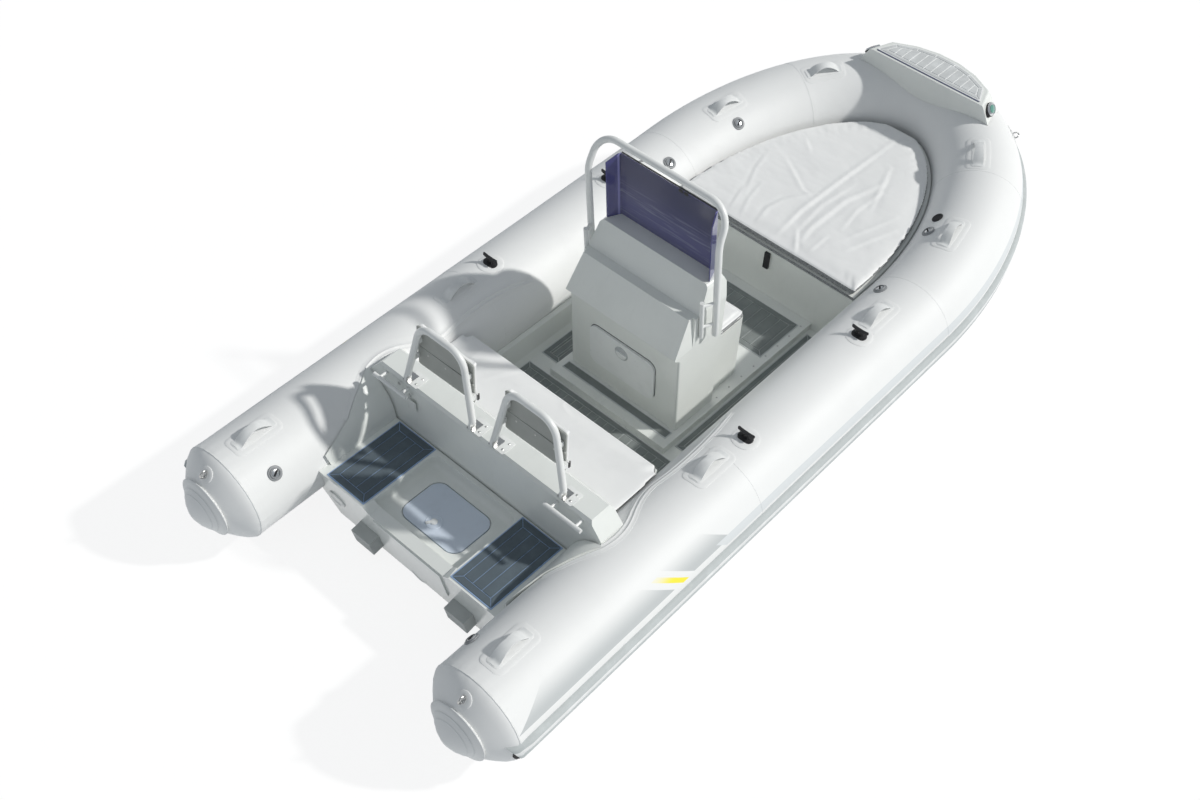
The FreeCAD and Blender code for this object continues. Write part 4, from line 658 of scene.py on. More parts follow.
steps = bmesh.new()
sole = bmesh.new()
for side in (1, -1):
    low, high = sorted(y * side for y in STEP_SIDES)
    edge = STEP_BORDER + PAD_MARGIN
    third = (high - low - 2 * edge) / 3
    planked(steps, box_corners(*STEP_ENDS, low, high), STEP_TOP, STEP_BORDER,
            (low + edge + third, low + edge + 2 * third))
planked(sole, box_corners(*STRIP_ENDS, -STRIP_HALF, STRIP_HALF), SOLE_TOP, BORDER,
        [BRICK * i for i in range(-9, 10)])
planked(sole, box_corners(*LEDGE_ENDS, -PLINTH_HALF, PLINTH_HALF), PLINTH_TOP, 0.0, ())
for side in (1, -1):
    low, high = sorted(y * side for y in WALK_SIDES)
    planked(sole, box_corners(*WALK_ENDS, low, high), SOLE_TOP, BORDER,
            [low + (high - low) * share for share in WALK_CUTS])
planked(sole, box_corners(*FORE_ENDS, -FORE_HALF, FORE_HALF), PLINTH_TOP, FORE_BORDER,
        [FORE_PLANK * i for i in range(-4, 5)])
bow_step = bmesh.new()
planked(bow_step, CHOCK_PLAN + tuple((x, -y) for x, y in reversed(CHOCK_PLAN)), CHOCK_TOP, CHOCK_BORDER,
        [CHOCK_PLANK * i for i in range(-6, 7)], CHOCK_GAP)
# The step pads take the darker, bluer foam tones, which are painted shade.
finished("step_planks", steps, [STEP_FOAM_PAINTED_SHADE, STEP_LINE_PAINTED_SHADE], "foam_deck", stands_for=("step_pads",))
finished("deck_planks", sole, [DECK_FOAM, PALE_LINE], "foam_deck", stands_for=("deck_pads",))
finished("bow_step_planks", bow_step, [CHOCK_FOAM, WHITE_LINE], "foam_deck", stands_for=("bow_step_pad",))


# Cushions: each starts from its CAD solid, drawn in a little, and swells as cloth under pressure.
def solid_copy(node):
    """The node's shape as clean flat faces."""
    bm = bmesh.new()
    bm.from_mesh(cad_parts[node].data)
    bmesh.ops.remove_doubles(bm, verts=bm.verts, dist=0.00005)
    bmesh.ops.dissolve_limit(bm, angle_limit=math.radians(1.0), verts=bm.verts, edges=bm.edges)
    bm.normal_update()
    return bm


def span(points):
    """The lowest and highest corner of some points."""
    points = list(points)
    return (Vector([min(p[i] for p in points) for i in range(3)]),
            Vector([max(p[i] for p in points) for i in range(3)]))


def applied(piece):
    """Makes the piece's modifiers real."""
    shown = piece.evaluated_get(bpy.context.evaluated_depsgraph_get())
    mesh = bpy.data.meshes.new_from_object(shown)
    piece.modifiers.clear()
    piece.data = mesh


SWELL_FRAMES = 20
DRAWN = 0.004


def swell(piece, voxel, cap, rests):
    """Remeshes a cushion and lets it swell as cloth; the points that it rests on stay."""
    remesh = piece.modifiers.new("remesh", "REMESH")
    remesh.mode = "VOXEL"
    remesh.voxel_size = voxel
    applied(piece)
    start = [v.co.copy() for v in piece.data.vertices]
    held = piece.vertex_groups.new(name="held")
    held.add([i for i, co in enumerate(start) if rests(co)], 1.0, "REPLACE")
    cloth = piece.modifiers.new("cloth", "CLOTH")
    cloth.settings.vertex_group_mass = "held"
    cloth.settings.quality = 4
    cloth.settings.mass = 0.4
    cloth.settings.use_pressure = True
    cloth.settings.uniform_pressure_force = 4.0
    cloth.settings.effector_weights.gravity = 0.0
    cloth.collision_settings.use_collision = False
    for step in range(1, SWELL_FRAMES + 1):
        scene.frame_set(step)
    applied(piece)
    scene.frame_set(1)
    for vert, before in zip(piece.data.vertices, start):
        move = vert.co - before
        if move.length > cap:
            vert.co = before + move * (cap / move.length)
    piece.vertex_groups.clear()


def fold_rise(co, folds):
    """How far the loose cover stands up or dips at a point, from the folds drawn across it."""
    rise = 0.0
    for path, high, wide in folds:
        nearest, signed, share = math.inf, 0.0, 0.0
        for step, (a, b) in enumerate(zip(path, path[1:])):
            run = Vector(b) - Vector(a)
            away = Vector((co.x, co.y)) - Vector(a)
            along = min(max(away.dot(run) / run.length_squared, 0.0), 1.0)
            gap = away - run * along
            if gap.length < nearest:
                nearest = gap.length
                signed = math.copysign(gap.length, run.cross(away))
                share = (step + along) / (len(path) - 1)
        if nearest < wide * 5.0:
            fade = min(share, 1.0 - share, 0.25) * 4.0
            ridge = math.exp(-(signed / wide) ** 2)
            dip = math.exp(-((signed - 1.7 * wide) / wide) ** 2)
            rise += high * (0.35 + 0.65 * fade) * (ridge - 0.55 * dip)
    return rise


def cushion(name, node, body, voxel, cap, rests, up, slack, folds=(), edge=0.55, trim=0.0, seam=0.0):
    """A swollen cushion with a white cover and a dark mesh edge. Up is the way that it faces.

    It swells by no more than cap. Slack is how loose its cover is, and edge how steep a face is that
    belongs to the mesh edge. Trim is how much of its height is cushion, where a board behind it takes
    up the rest. Seam is how far a sewn line runs inside its outline.
    """
    up = Vector(up)
    bm = solid_copy(node)
    if trim:
        top = max(v.co.dot(up) for v in bm.verts)
        for vert in bm.verts:
            vert.co += up * max(top - trim - vert.co.dot(up), 0.0)
    low, high = span(v.co for v in bm.verts)
    size = high - low
    bmesh.ops.scale(bm, vec=[1.0 - 2.0 * DRAWN / size[i] for i in range(3)],
                    space=Matrix.Translation(-(low + high) / 2), verts=bm.verts)
    bmesh.ops.translate(bm, vec=-up * DRAWN, verts=bm.verts)
    bmesh.ops.triangulate(bm, faces=bm.faces)
    piece = finished(name, bm, [COVER, MESH_EDGE], "upholstery", body, (node,))
    swell(piece, voxel, cap, rests)
    flat = [i for i in range(3) if abs(up[i]) < 0.5]
    inner_low = [low[i] + seam for i in range(3)]
    inner_high = [high[i] - seam for i in range(3)]
    for vert in piece.data.vertices:
        share = max(vert.normal.dot(up), 0.0)
        if share > 0.5:
            if seam:
                away = min(min(vert.co[i] - inner_low[i], inner_high[i] - vert.co[i]) for i in flat)
                vert.co -= up * 0.0026 * math.exp(-(away / 0.0042) ** 2) * share
            loose = noise.noise(Vector((vert.co.x * 9.0, vert.co.y * 5.0, vert.co.z * 9.0))) * 3.0
            loose += noise.noise(Vector((vert.co.x * 31.0, vert.co.y * 17.0, 3.0)))
            vert.co += up * (slack * loose + fold_rise(vert.co, folds)) * share
    finer = piece.modifiers.new("finer", "SUBSURF")
    finer.levels = 1
    finer.render_levels = 1
    applied(piece)
    for face in piece.data.polygons:
        face.use_smooth = True
        face.material_index = 1 if abs(face.normal.dot(up)) < edge else 0


BOW_FOLDS = (
    (((3.581, -0.026), (3.094, -0.012), (2.753, -0.007), (2.533, -0.03)), 0.0052, 0.013),
    (((3.247, -0.193), (2.982, -0.126), (2.681, -0.125), (2.569, -0.145)), 0.0048, 0.015),
    (((3.12, -0.085), (2.86, -0.06), (2.62, -0.085)), 0.003, 0.011),
    (((2.62, -0.085), (2.492, -0.173)), 0.0045, 0.01),
    (((2.536, 0.101), (2.649, 0.125), (2.751, 0.106), (2.919, 0.021)), 0.0035, 0.012),
    (((2.659, 0.281), (2.86, 0.365), (3.002, 0.4)), 0.003, 0.01),
    (((2.512, 0.262), (2.706, 0.318)), 0.003, 0.009),
    (((2.51, 0.19), (2.64, 0.24), (2.79, 0.27)), 0.0026, 0.01),
    (((3.035, 0.308), (2.888, 0.08), (2.884, 0.028)), 0.003, 0.012),
    (((3.368, -0.141), (3.221, -0.195), (3.01, -0.264)), 0.0034, 0.012),
    (((3.16, -0.225), (2.96, -0.215), (2.78, -0.245)), 0.003, 0.011),
    (((2.974, -0.445), (2.821, -0.398), (2.67, -0.352)), 0.0028, 0.012),
    (((3.06, -0.395), (2.88, -0.345), (2.74, -0.3)), 0.0026, 0.012),
    (((3.55, 0.219), (3.58, 0.12), (3.569, 0.016)), 0.0028, 0.01),
    (((3.265, 0.348), (3.164, 0.238)), 0.0022, 0.01),
    (((2.698, -0.222), (2.545, -0.226)), 0.003, 0.01),
)
SEAT_FOLDS = (
    (((0.95, 0.115), (0.906, 0.163), (0.86, 0.26)), 0.0022, 0.012),
    (((0.97, 0.24), (0.9, 0.283), (0.8, 0.33)), 0.0018, 0.014),
    (((0.975, -0.02), (0.937, -0.042), (0.917, -0.107)), 0.0018, 0.01),
    (((0.64, 0.48), (0.8, 0.45), (0.95, 0.47)), 0.0016, 0.016),
)
cushion("bow_cushion_cover", "bow_cushion", "bow_lid", 0.011, 0.006, lambda co: co.z < 0.512, (0, 0, 1),
        slack=0.001, folds=BOW_FOLDS, edge=0.72)
cushion("seat_cushion_cover", "seat_cushion", "seat_lid", 0.009, 0.006, lambda co: co.z < 0.503, (0, 0, 1),
        slack=0.0006, folds=SEAT_FOLDS)
cushion("fore_seat_cushion_cover", "fore_seat_cushion", "fore_seat_lid", 0.007, 0.006,
        lambda co: co.z < 0.582, (0, 0, 1), slack=0.001, seam=0.026)
for side, name in SIDES:
    cushion("backrest_%s_pad" % name, "backrest_" + name, "backrest_" + name, 0.006, 0.008,
            lambda co: co.x < 0.54, (1, 0, 0), slack=0.0004, edge=-1.0, trim=0.0335, seam=0.03)


# Small parts are made round the origin, facing up, and then put in their places.
def turned(profile, steps):
    """A part turned on a lathe from (radius, height) points."""
    bm = bmesh.new()
    verts = [bm.verts.new((r, 0.0, z)) for r, z in profile]
    edges = [bm.edges.new(pair) for pair in zip(verts, verts[1:])]
    bmesh.ops.spin(bm, geom=verts + edges, cent=(0, 0, 0), axis=(0, 0, 1), angle=math.tau,
                   steps=steps, use_merge=True)
    bmesh.ops.remove_doubles(bm, verts=bm.verts, dist=0.000001)
    return bm


def plate(length, width, corner, thick, edge=0.0, cuts=(1, 1)):
    """A flat part with round corners and a soft upper edge. Cuts let it follow a curve."""
    bm = bmesh.new()
    bmesh.ops.create_grid(bm, x_segments=1, y_segments=1, size=0.5)
    bmesh.ops.scale(bm, vec=(length, width, 1.0), verts=bm.verts)
    if corner:
        bmesh.ops.bevel(bm, geom=bm.verts[:], offset=corner, affect="VERTICES", segments=6,
                        profile=0.5, material=-1)
    for normal, size, count in ((Vector((1, 0, 0)), length, cuts[0]), (Vector((0, 1, 0)), width, cuts[1])):
        for i in range(1, count):
            bmesh.ops.bisect_plane(bm, geom=bm.verts[:] + bm.edges[:] + bm.faces[:],
                                   plane_co=normal * size * (i / count - 0.5), plane_no=normal)
    bmesh.ops.extrude_face_region(bm, geom=bm.faces[:], use_keep_orig=True)
    top = set(bm.verts[len(bm.verts) // 2:])
    bmesh.ops.translate(bm, vec=(0, 0, thick), verts=list(top))
    if edge:
        bm.normal_update()
        rim = [e for e in bm.edges if all(v in top for v in e.verts)
               and any(abs(f.normal.z) < 0.5 for f in e.link_faces)]
        bmesh.ops.bevel(bm, geom=rim, offset=edge, affect="EDGES", segments=2, profile=0.5, material=-1)
    return bm


def strap(length, width, rise, thick):
    """A soft strap that stands in an arch between two flat feet, narrower at its grip."""
    bm = bmesh.new()
    bmesh.ops.create_grid(bm, x_segments=30, y_segments=4, size=0.5)
    for vert in bm.verts:
        share = min(abs(vert.co.x) / 0.41, 1.0)
        high = rise * (1.0 - share ** 2.3) ** 1.15 + 0.002 * (1.0 - 4.0 * vert.co.y ** 2)
        vert.co = Vector((vert.co.x * length, vert.co.y * width * (0.64 + 0.36 * share), high))
    bmesh.ops.solidify(bm, geom=bm.faces[:], thickness=thick)
    return bm


def add(piece, part):
    mesh = bpy.data.meshes.new("part")
    part.to_mesh(mesh)
    part.free()
    piece.from_mesh(mesh)
    bpy.data.meshes.remove(mesh)


def put(piece, part, place, finish=0):
    """Adds a part to a piece, with its faces outward. Place is a matrix, or a rule for each point."""
    if callable(place):
        for vert in part.verts:
            vert.co = place(vert.co)
    else:
        bmesh.ops.transform(part, matrix=place, verts=part.verts)
    bmesh.ops.recalc_face_normals(part, faces=part.faces)
    for face in part.faces:
        face.material_index = finish
    add(piece, part)


def wrapped(along, side, lift):
    """Lays a flat part on the tube's skin round a point."""
    return lambda co: on_skin(along + co.x, side, lift + math.degrees(co.y / RADIUS),
                              co.z + skin_puckers(along + co.x, side, lift))


def facing(place, normal, ahead=(0, 0, 1)):
    """A frame at a place, with Z along the normal and X near the way ahead."""
    z = Vector(normal).normalized()
    y = z.cross(Vector(ahead)).normalized()
    matrix = Matrix((y.cross(z), y, z)).transposed().to_4x4()
    matrix.translation = Vector(place)
    return matrix


# Profiles for turned parts: (radius, height) from the middle outward, or round from below.
SCREW = ((0.0, 0.0018), (0.0012, 0.0009), (0.0022, 0.0022), (0.004, 0.0017), (0.0052, 0.0006),
         (0.0054, -0.0006), (0.0, -0.0006))
WASHER = ((0.0, 0.0026), (0.004, 0.0023), (0.0062, 0.0008), (0.0095, 0.0006), (0.0098, -0.0006),
          (0.0, -0.0006))


def screws(piece, places, normal, ahead=(0, 0, 1), head=SCREW):
    """A row of screws in the piece's second finish."""
    for place in places:
        put(piece, turned(head, 10), facing(place, normal, ahead), 1)


# Grab handles: a wide patch, a doubler and an arched strap. Places are X and lift.
HANDLE_PLACES = ((-0.14, 92.0), (1.085, 94.0), (2.325, 94.0), (3.045, 98.0), (3.635, 100.0))
HANDLE_PATCH = (0.25, 0.128, 0.034, 0.0012, 0.0005, (16, 8))
HANDLE_DOUBLER = (0.216, 0.07, 0.02, 0.0024, 0.0008, (14, 4))
HANDLE_STRAP = (0.206, 0.052, 0.042, 0.0035)
handles = bmesh.new()
for x, lift in HANDLE_PLACES:
    for side in (1, -1):
        spot = wrapped(along_of(x), side, lift)
        put(handles, plate(*HANDLE_PATCH), spot)
        put(handles, plate(*HANDLE_DOUBLER), spot)
        arch = strap(*HANDLE_STRAP)
        bmesh.ops.translate(arch, vec=(0, 0, 0.0024), verts=arch.verts)
        put(handles, arch, spot, 1)
finished("grab_handles", handles, [PATCH, PALE_RUBBER], "handle_rubber", stands_for=("handles",))

# Air valves: a flange with a raised ring, and a cap with a bar across it.
VALVE_PLACES = ((-0.182, 140.0), (2.511, 120.0), (3.045, 128.0))
VALVE_BODY = ((0.0, -0.001), (0.0345, -0.001), (0.0345, 0.0022), (0.0325, 0.0042), (0.0262, 0.0048),
              (0.0252, 0.0088), (0.0225, 0.0102), (0.02, 0.0088), (0.0192, 0.0052), (0.0, 0.0052))
VALVE_CAP = ((0.0, 0.005), (0.0182, 0.005), (0.018, 0.0068), (0.016, 0.0076), (0.0, 0.008))
VALVE_BAR = (0.033, 0.0085, 0.003, 0.0115, 0.0012)
valves = bmesh.new()
for x, lift in VALVE_PLACES:
    for side in (1, -1):
        spot = skin_matrix(along_of(x), side, lift)
        put(valves, turned(VALVE_BODY, 32), spot)
        put(valves, turned(VALVE_CAP, 28), spot, 1)
        put(valves, plate(*VALVE_BAR), spot @ Matrix.Rotation(0.6, 4, "Z"), 2)
finished("air_valves", valves, [GREY_PLASTIC, CHROME, BLACK], "steel", stands_for=("valves",))

# Mooring cleats: an oval foot, two posts and a horn that rises at both ends.
CLEAT_PLACES = (1.315, 2.162)
CLEAT_FOOT = (0.05, 0.078, 0.0245, 0.0085, 0.003)
CLEAT_POST = ((0.0, 0.0), (0.01, 0.0), (0.008, 0.01), (0.0078, 0.03), (0.0, 0.03))
HORN_LENGTH, HORN_FOOT, HORN_RISE = 0.092, 0.028, 0.007
cleats = bmesh.new()
for x in CLEAT_PLACES:
    for side in (1, -1):
        spot = skin_matrix(along_of(x), side, 90.0)
        put(cleats, plate(*CLEAT_FOOT), spot)
        for y in (-0.014, 0.014):
            put(cleats, turned(CLEAT_POST, 16), spot @ Matrix.Translation((0, y, 0.006)))
        horn = plate(0.017, HORN_LENGTH, 0.008, 0.011, 0.004, (1, 13))
        for vert in horn.verts:
            share = abs(vert.co.y) / (HORN_LENGTH / 2)
            vert.co.x *= 1.0 - 0.25 * share
            vert.co.z += HORN_FOOT + HORN_RISE * share ** 2
        put(cleats, horn, spot)
finished("mooring_cleats", cleats, [BLACK], "black_plastic", stands_for=("cleats",))

# Rings at the bow and towing eyes on the cones: a round patch, a steel foot and a ring.
BOW_EYE = (3.842, 24.0)
TOW_EYE = (-0.07, 90.0)
TOW_SLOPE = math.radians(48.0)
TOW_FACE = (-math.sin(TOW_SLOPE), 0, math.cos(TOW_SLOPE))
EYE_PATCH = ((0.0, -0.003), (0.038, -0.003), (0.038, 0.0008), (0.0355, 0.0022), (0.022, 0.0026),
             (0.0, 0.0026))
EYE_FOOT = (0.034, 0.022, 0.007, 0.006, 0.0014)
UPRIGHT = Matrix.Rotation(math.pi / 2, 4, "X")


def ring_eye(piece, spot, radius, wire):
    put(piece, turned(EYE_PATCH, 32), spot)
    put(piece, plate(*EYE_FOOT), spot, 1)
    for x in (-0.011, 0.011):
        put(piece, turned(SCREW, 10), spot @ Matrix.Translation((x, 0.0, 0.0062)), 1)
    hoop = bmesh.new()
    bmesh.ops.create_circle(hoop, segments=10, radius=wire,
                            matrix=Matrix.Translation((radius, 0, 0)) @ UPRIGHT)
    bmesh.ops.spin(hoop, geom=hoop.verts[:] + hoop.edges[:], cent=(0, 0, 0), axis=(0, 0, 1), angle=math.tau,
                   steps=28, use_merge=True)
    put(piece, hoop, spot @ Matrix.Translation((0, 0, radius * 0.7)) @ UPRIGHT, 1)


bow_eyes, tow_eyes = bmesh.new(), bmesh.new()
for side in (1, -1):
    ring_eye(bow_eyes, skin_matrix(along_of(BOW_EYE[0]), side, BOW_EYE[1]), 0.019, 0.0036)
    tow_spot = on_skin(TOW_EYE[0], side, TOW_EYE[1])
    ring_eye(tow_eyes, facing(tow_spot, TOW_FACE, (1, 0, 1)), 0.018, 0.0045)
finished("bow_ring_eyes", bow_eyes, [PATCH, STEEL], "steel", stands_for=("bow_rings",))
finished("towing_eyes", tow_eyes, [PATCH, STEEL], "steel", stands_for=("tow_eyes",))

# Round patches under the cleats and the bow rings.
CLEAT_PATCH = (0.13, 0.13, 0.064, 0.0018, 0.0008, (6, 6))
RING_PATCH = (0.11, 0.11, 0.054, 0.002, 0.0008, (6, 6))
patches = bmesh.new()
for side in (1, -1):
    for x in CLEAT_PLACES:
        put(patches, plate(*CLEAT_PATCH), wrapped(along_of(x), side, 90.0))
    put(patches, plate(*RING_PATCH), wrapped(along_of(BOW_EYE[0]), side, BOW_EYE[1]))
finished("fitting_patches", patches, [PATCH], "tube_fabric")


def taped(path, profile, side):
    """A glued tape that runs along a path on the skin. Profile is (offset, height) across it."""
    points = [Vector((along, math.radians(lift) * RADIUS)) for along, lift in path]
    for _ in range(3):
        cut = [points[0]]
        for a, b in zip(points, points[1:]):
            cut += [a.lerp(b, 0.25), a.lerp(b, 0.75)]
        points = cut + [points[-1]]
    bm = bmesh.new()
    bmesh.ops.create_grid(bm, x_segments=len(points) - 1, y_segments=len(profile) - 1, size=1.0)
    for vert in bm.verts:
        i = round((vert.co.x + 1.0) / 2.0 * (len(points) - 1))
        offset, height = profile[round((vert.co.y + 1.0) / 2.0 * (len(profile) - 1))]
        run = (points[min(i + 1, len(points) - 1)] - points[max(i - 1, 0)]).normalized()
        spot = points[i] + Vector((-run.y, run.x)) * offset
        lift = math.degrees(spot.y / RADIUS)
        vert.co = on_skin(spot.x, side, lift, height + skin_puckers(spot.x, side, lift))
    bm.normal_update()
    face = next(iter(bm.faces))
    middle = tube_frame(points[0].x, side)[0]
    if face.normal.dot(face.calc_center_median() - middle) < 0.0:
        bmesh.ops.reverse_faces(bm, faces=bm.faces)
    return bm


# The beaded tape where the tube is glued to the seats' and well's sides.
FLANGE_LINE = ((0.563, 142.1), (0.63, 129.9), (0.709, 118.9), (0.756, 111.9), (0.796, 107.2),
               (0.861, 104.4), (0.919, 105.3), (0.978, 109.7), (1.05, 118.8), (1.133, 127.1),
               (1.205, 129.0), (1.245, 127.0), (1.33, 124.0), (1.48, 124.0), (1.64, 128.0),
               (1.76, 136.0))
HALF_FLANGE = ((-0.03, -0.0012), (-0.0292, 0.001), (-0.015, 0.0012), (-0.0125, 0.0032), (-0.01, 0.0042),
               (-0.0075, 0.0032), (-0.005, 0.0012))
tapes = bmesh.new()
for side in (1, -1):
    add(tapes, taped(FLANGE_LINE, HALF_FLANGE + tuple((-x, z) for x, z in reversed(HALF_FLANGE)), side))
finished("flange_tape", tapes, [PATCH], "tube_fabric", sharp=50.0)


def ring_round(name, side, heights, finish, sharp=35.0):
    """A band all round the tube. Heights gives how far it stands out at each station along."""
    band = grid_on_tube([(along, side) for along in heights], ALL_ROUND,
                        lambda along, _, lift: heights[along] + skin_puckers(along, side, lift), closed=True)
    bmesh.ops.recalc_face_normals(band, faces=band.faces)
    finished(name, band, [finish], "tube_fabric", sharp=sharp)


SEAM_PLACES = (0.016, 1.52, 2.975, 3.9)
SEAM_SHAPE = ((-0.0162, -0.0012), (-0.0155, 0.0007), (0.0155, 0.0007), (0.0162, -0.0012))
for number, place in enumerate(SEAM_PLACES, start=1):
    for side, name in SIDES:
        ring_round("seam_tape_%s_%d" % (name, number), side,
                   {place + offset: height for offset, height in SEAM_SHAPE}, CLOTH)

# Beads round the end cones, one at the seam and three on the cap: place, half width and height.
BEADS = ((-0.004, 0.003, 0.0022), (-0.117, 0.0022, 0.003), (-0.136, 0.0022, 0.0024),
         (-0.152, 0.002, 0.0022))
for side, name in SIDES:
    for number, (place, half, high) in enumerate(BEADS, start=1):
        ring_round("cone_bead_%s_%d" % (name, number), side,
                   {place - half: -0.001, place - 0.4 * half: high, place + 0.4 * half: high,
                    place + half: -0.001}, PALE_RUBBER, 60.0)

# Plugs on the strake's ends, and a second cap beside the fore valve to starboard.
CAP_BODY = ((0.0, -0.001), (0.03, -0.001), (0.03, 0.003), (0.027, 0.0055), (0.018, 0.006), (0.016, 0.0045),
            (0.0, 0.0045))
PLUG = (0.026, 0.05, 0.01, 0.014, 0.004, (3, 6))
plugs = bmesh.new()
for side in (1, -1):
    put(plugs, plate(*PLUG), wrapped(-0.022, side, -5.0))
put(plugs, turned(CAP_BODY, 28), skin_matrix(3.5, -1, 127.0))
finished("strake_plugs", plugs, [BLACK_RUBBER], "black_rubber")

# Backrest boards behind the pads: two leaves with a fold between them, and their catches.
BACK_Y = 0.266
LEAF = (0.116, 0.346, 0.01, 0.0058, 0.0012)
CATCH = (0.04, 0.012, 0.004, 0.004, 0.0015)
AFT = (-1, 0, 0)
UP = (0, 0, 1)
FORE = (1, 0, 0)
for side, name in SIDES:
    board = bmesh.new()
    for z in (0.826, 0.9445):
        put(board, plate(*LEAF), facing((0.53, side * BACK_Y, z), AFT))
    screws(board, [(0.524, side * BACK_Y + y, 0.858) for y in (-0.108, 0.0, 0.108)], AFT)
    for edge in (1, -1):
        put(board, plate(*CATCH), facing((0.545, side * BACK_Y + edge * 0.1755, 0.8), (0, edge, 0)), 2)
    finished("backrest_%s_board" % name, board, [BOARD, STEEL, BLACK], "hatch_plastic", "backrest_" + name)

# Foot plates at the hoops' legs, on top of the beam.
LEG_PLACES = (0.466, 0.07, -0.07, -0.466)
HOOP_FOOT = (0.08, 0.082, 0.006, 0.0022, 0.0006)
BEAM_TOP = 0.6632
feet = bmesh.new()
for y in LEG_PLACES:
    put(feet, plate(*HOOP_FOOT), Matrix.Translation((0.508, y - 0.02, BEAM_TOP)))
    screws(feet, [(x, y - 0.04, BEAM_TOP + HOOP_FOOT[3]) for x in (0.488, 0.528)], UP, FORE)
finished("hoop_foot_plates", feet, [RAIL, STEEL], "steel")

# Screws along the console's plinth, and the small covers of the beam and of the raked transom.
RAKE = math.radians(12.0)
TRANSOM_TOP = 0.377
BEAM_AFT = 0.452
RECESS_PLATE = (0.06, 0.052, 0.008, 0.003, 0.001)
COVER_SHAPE = ((0.0, -0.001), (0.05, -0.001), (0.05, 0.003), (0.047, 0.0065), (0.04, 0.0072),
               (0.038, 0.0052), (0.0, 0.0048))
covers = bmesh.new()
for side in (1, -1):
    screws(covers, [(1.72 + 0.097 * i, side * 0.342, PLINTH_TOP) for i in range(8)], UP, FORE)
put(covers, plate(*RECESS_PLATE), facing((BEAM_AFT, 0.423, 0.557), AFT))
screws(covers, [(BEAM_AFT, y, z) for y, z in ((0.5, 0.642), (0.476, 0.61), (0.43, 0.618))], AFT,
       head=WASHER)
for y, z in ((0.5, 0.19), (0.0, 0.062)):
    put(covers, turned(COVER_SHAPE, 36),
        facing(((TRANSOM_TOP - z) * math.tan(RAKE), y, z), (-math.cos(RAKE), 0, -math.sin(RAKE))))
finished("small_covers", covers, [LID, STEEL], "lid_panel")

# Latches and pulls on the two hatches, and a thin black plate behind the console hatch, a painted shadow in
# the gap round it.
LATCH_RIM = ((0.0, -0.0005), (0.04, -0.0005), (0.04, 0.0012), (0.0385, 0.0022), (0.0355, 0.0022),
             (0.034, 0.0008), (0.0, 0.0006))
LATCH_HUB = ((0.0, 0.0), (0.0165, 0.0), (0.0165, 0.0045), (0.0135, 0.0072), (0.0, 0.008))
LATCH_ARM = (0.04, 0.015, 0.0065, 0.0065, 0.002)
latch = bmesh.new()
spot = Matrix.Translation((0.191, 0.02, 0.315)) @ Matrix.Rotation(2.5, 4, "Z")
put(latch, turned(LATCH_RIM, 40), spot)
put(latch, turned(LATCH_HUB, 28), spot, 1)
put(latch, plate(*LATCH_ARM), spot @ Matrix.Translation((0.019, 0, 0)), 1)
# The latch's rim takes the well hatch's pale blue, a painted reflection of the sky.
finished("well_hatch_latch", latch, [HATCH_PAINTED_SKY_BLUE, PALE_HATCH], "hatch_plastic", "well_hatch")

HATCH_LEAN = math.radians(3.35)
HATCH_FACE = (-math.cos(HATCH_LEAN), 0, -math.sin(HATCH_LEAN))
PULL_LIP = ((0.0, 0.0), (0.033, 0.0), (0.032, 0.004), (0.026, 0.007), (0.0, 0.0076))
HATCH_GAP_SHADOW_PLATE = (0.262, 0.407, 0.048, 0.001)
hatch_gap_shadow = bmesh.new()
put(hatch_gap_shadow, plate(*HATCH_GAP_SHADOW_PLATE), facing((1.4009, 0.0, 0.4383), HATCH_FACE))
finished("console_hatch_gap_painted_shadow", hatch_gap_shadow, [BLACK_RUBBER], "black_rubber")
pull = bmesh.new()
spot = facing((1.3838, 0.0, 0.5), HATCH_FACE)
put(pull, turned(LATCH_RIM, 40), spot)
lip = turned(PULL_LIP, 40)
cut = bmesh.ops.bisect_plane(lip, geom=lip.verts[:] + lip.edges[:] + lip.faces[:], plane_co=(0.006, 0, 0),
                             plane_no=(1, 0, 0), clear_outer=True)
bmesh.ops.holes_fill(lip, edges=[e for e in cut["geom_cut"] if isinstance(e, bmesh.types.BMEdge)], sides=0)
put(pull, lip, spot, 1)
finished("console_hatch_pull", pull, [PULL, PALE_HATCH], "hatch_plastic", "console_hatch")

# Side lamps on the bow moulding: a gasket, a bright oval rim and a coloured lens.
LAMP_PLACE = (3.88, 0.383, 0.785)
LAMP_TOE = math.atan2(0.05, 0.14)
LAMP_TILT = math.radians(48.0)
LAMP_OVAL = Matrix.Diagonal((1.42, 0.9, 1.0, 1.0))
LAMP_RIM = ((0.0, -0.022), (0.034, -0.022), (0.034, 0.003), (0.031, 0.0085), (0.0275, 0.009),
            (0.026, 0.006), (0.0, 0.006))
LAMP_LENS = ((0.0, 0.0055), (0.0215, 0.0055), (0.02, 0.009), (0.014, 0.0115), (0.0, 0.0125))
LAMP_GASKET = ((0.0, -0.024), (0.0362, -0.024), (0.0362, -0.0005), (0.0, -0.0005))
lamps = bmesh.new()
for side in (1, -1):
    x, y, z = LAMP_PLACE
    spot = (Matrix.Translation((x, side * y, z)) @ Matrix.Rotation(-side * LAMP_TOE, 4, "Z")
            @ Matrix.Rotation(-side * LAMP_TILT, 4, "X") @ LAMP_OVAL)
    put(lamps, turned(LAMP_GASKET, 40), spot, 3)
    put(lamps, turned(LAMP_RIM, 40), spot)
    put(lamps, turned(LAMP_LENS, 36), spot, 1 if side < 0 else 2)
finished("side_lamps", lamps, [CHROME, GREEN_LENS, RED_LENS, BLACK_RUBBER], "lamp_chrome",
         stands_for=("nav_lights",))
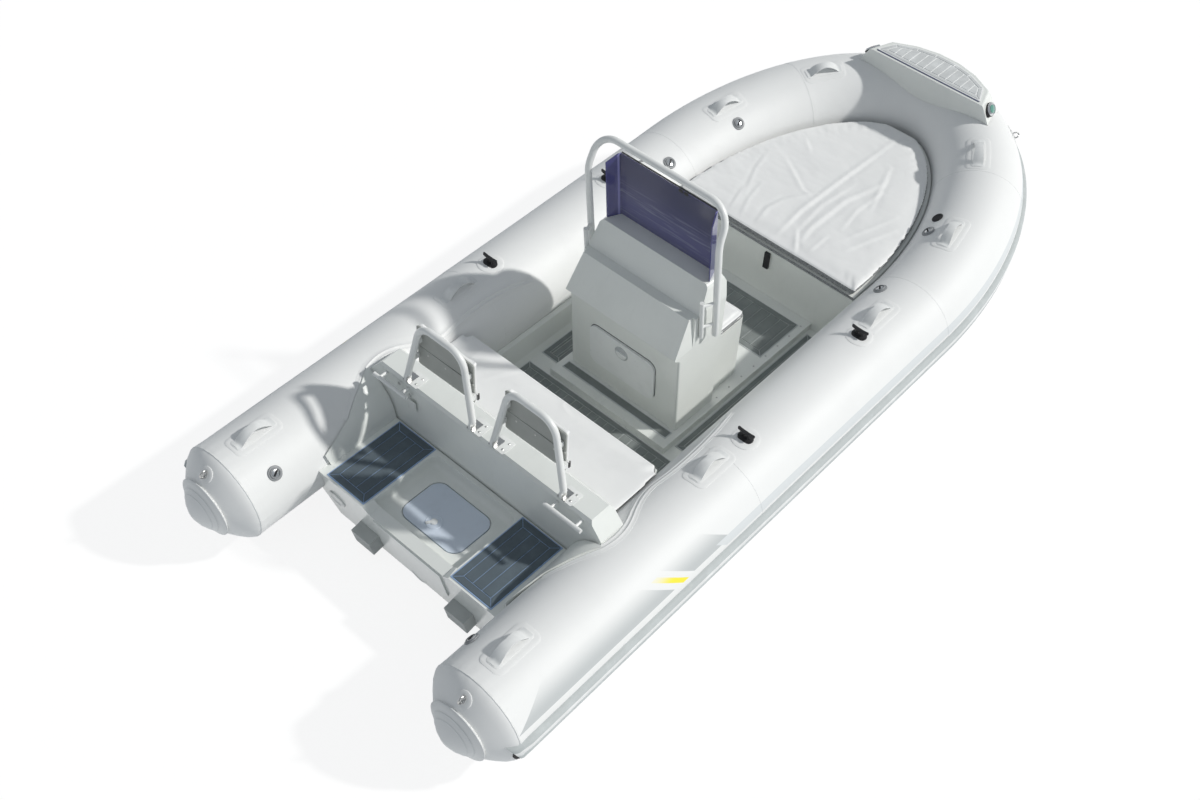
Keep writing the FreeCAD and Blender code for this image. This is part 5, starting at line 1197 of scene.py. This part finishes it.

# Dark strips: the windscreen's top edge and two clips, a painted shadow along the bow step's aft edge, and
# the bow lid's aft edge.
ACROSS = (0, 1, 0)
CLIP = (0.024, 0.014, 0.003, 0.005, 0.0015)
CLIP_FACE = (-1, 0, 0.05)
SCREEN_TRIMS = (((0.548, 0.0065, 0.002, 0.003, 0.0008), (1.6265, 0.0, 1.401), UP),
                (CLIP, (1.62, -0.075, 1.395), CLIP_FACE), (CLIP, (1.62, -0.105, 1.395), CLIP_FACE))
STEP_SHADOW_STRIPS = (((0.655, 0.0045, 0.002, 0.003, 0.0008), (3.8255, 0.0, CHOCK_TOP), UP),)
LID_TRIMS = (((1.13, 0.0155, 0.003, 0.0016, 0.0005), (2.461, 0.0, 0.493), AFT),)
for name, strips, finish, slot, body in (("windscreen_trim", SCREEN_TRIMS, BLACK, "black_plastic", "boat"),
                                         ("bow_step_painted_shadow_strip", STEP_SHADOW_STRIPS, BOW_STEP_SHADOW_PAINT, "foam_deck", "boat"),
                                         ("bow_lid_edge", LID_TRIMS, MESH_EDGE, "upholstery", "bow_lid")):
    trim = bmesh.new()
    for size, place, normal in strips:
        put(trim, plate(*size), facing(place, normal, ACROSS))
    finished(name, trim, [finish], slot, body)


# A low sun from ahead to starboard, a soft sky, and a floor that keeps the shadow.
SUNLIGHT = (-0.516, 0.595, -0.616)
sun_data = bpy.data.lights.new("sun", "SUN")
sun_data.energy = 2.62
sun_data.angle = math.radians(2.5)
sun_data.color = (1.0, 0.985, 0.955)
sun = bpy.data.objects.new("sun", sun_data)
scene.collection.objects.link(sun)
sun.rotation_mode = "QUATERNION"
sun.rotation_quaternion = Vector(SUNLIGHT).to_track_quat("-Z", "Y")

scene.world = bpy.data.worlds.new("studio")
sky = Finish("studio", scene.world, Color=(0.86, 0.93, 1.0), Strength=0.37)
glow = Wire(sky, sky.surface.outputs["Background"])
plain = sky.node("ShaderNodeBackground", {}, {"Color": (1.0, 1.0, 1.0), "Strength": 1.0})
seen = sky.ray("Camera") | sky.ray("Transmission")
sky.show(sky.node("ShaderNodeMixShader", {}, {0: seen, 1: glow, 2: plain}), "World Output")

floor_shape = bmesh.new()
bmesh.ops.create_grid(floor_shape, x_segments=1, y_segments=1, size=60.0)
floor_mesh = bpy.data.meshes.new("floor")
floor_shape.to_mesh(floor_mesh)
floor_shape.free()
floor = bpy.data.objects.new("floor", floor_mesh)
scene.collection.objects.link(floor)
ground = Finish("pale_floor")
ground.tree.nodes.remove(ground.surface)
diffuse = ground.node("ShaderNodeBsdfDiffuse", {}, {"Color": (0.8, 0.82, 0.84)})
shadow = ground.node("ShaderNodeBsdfDiffuse", {}, {"Color": (0.16, 0.16, 0.16)})
white = ground.node("ShaderNodeEmission", {}, {"Strength": 0.87})
lit = ground.node("ShaderNodeAddShader", {}, {0: shadow, 1: white})
seen = ground.ray("Camera") | ground.ray("Transmission") | ground.ray("Glossy")
ground.show(ground.node("ShaderNodeMixShader", {}, {0: seen, 1: diffuse, 2: lit}), "Material Output")
floor_mesh.materials.append(ground.material)
floor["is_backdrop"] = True

low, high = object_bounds()
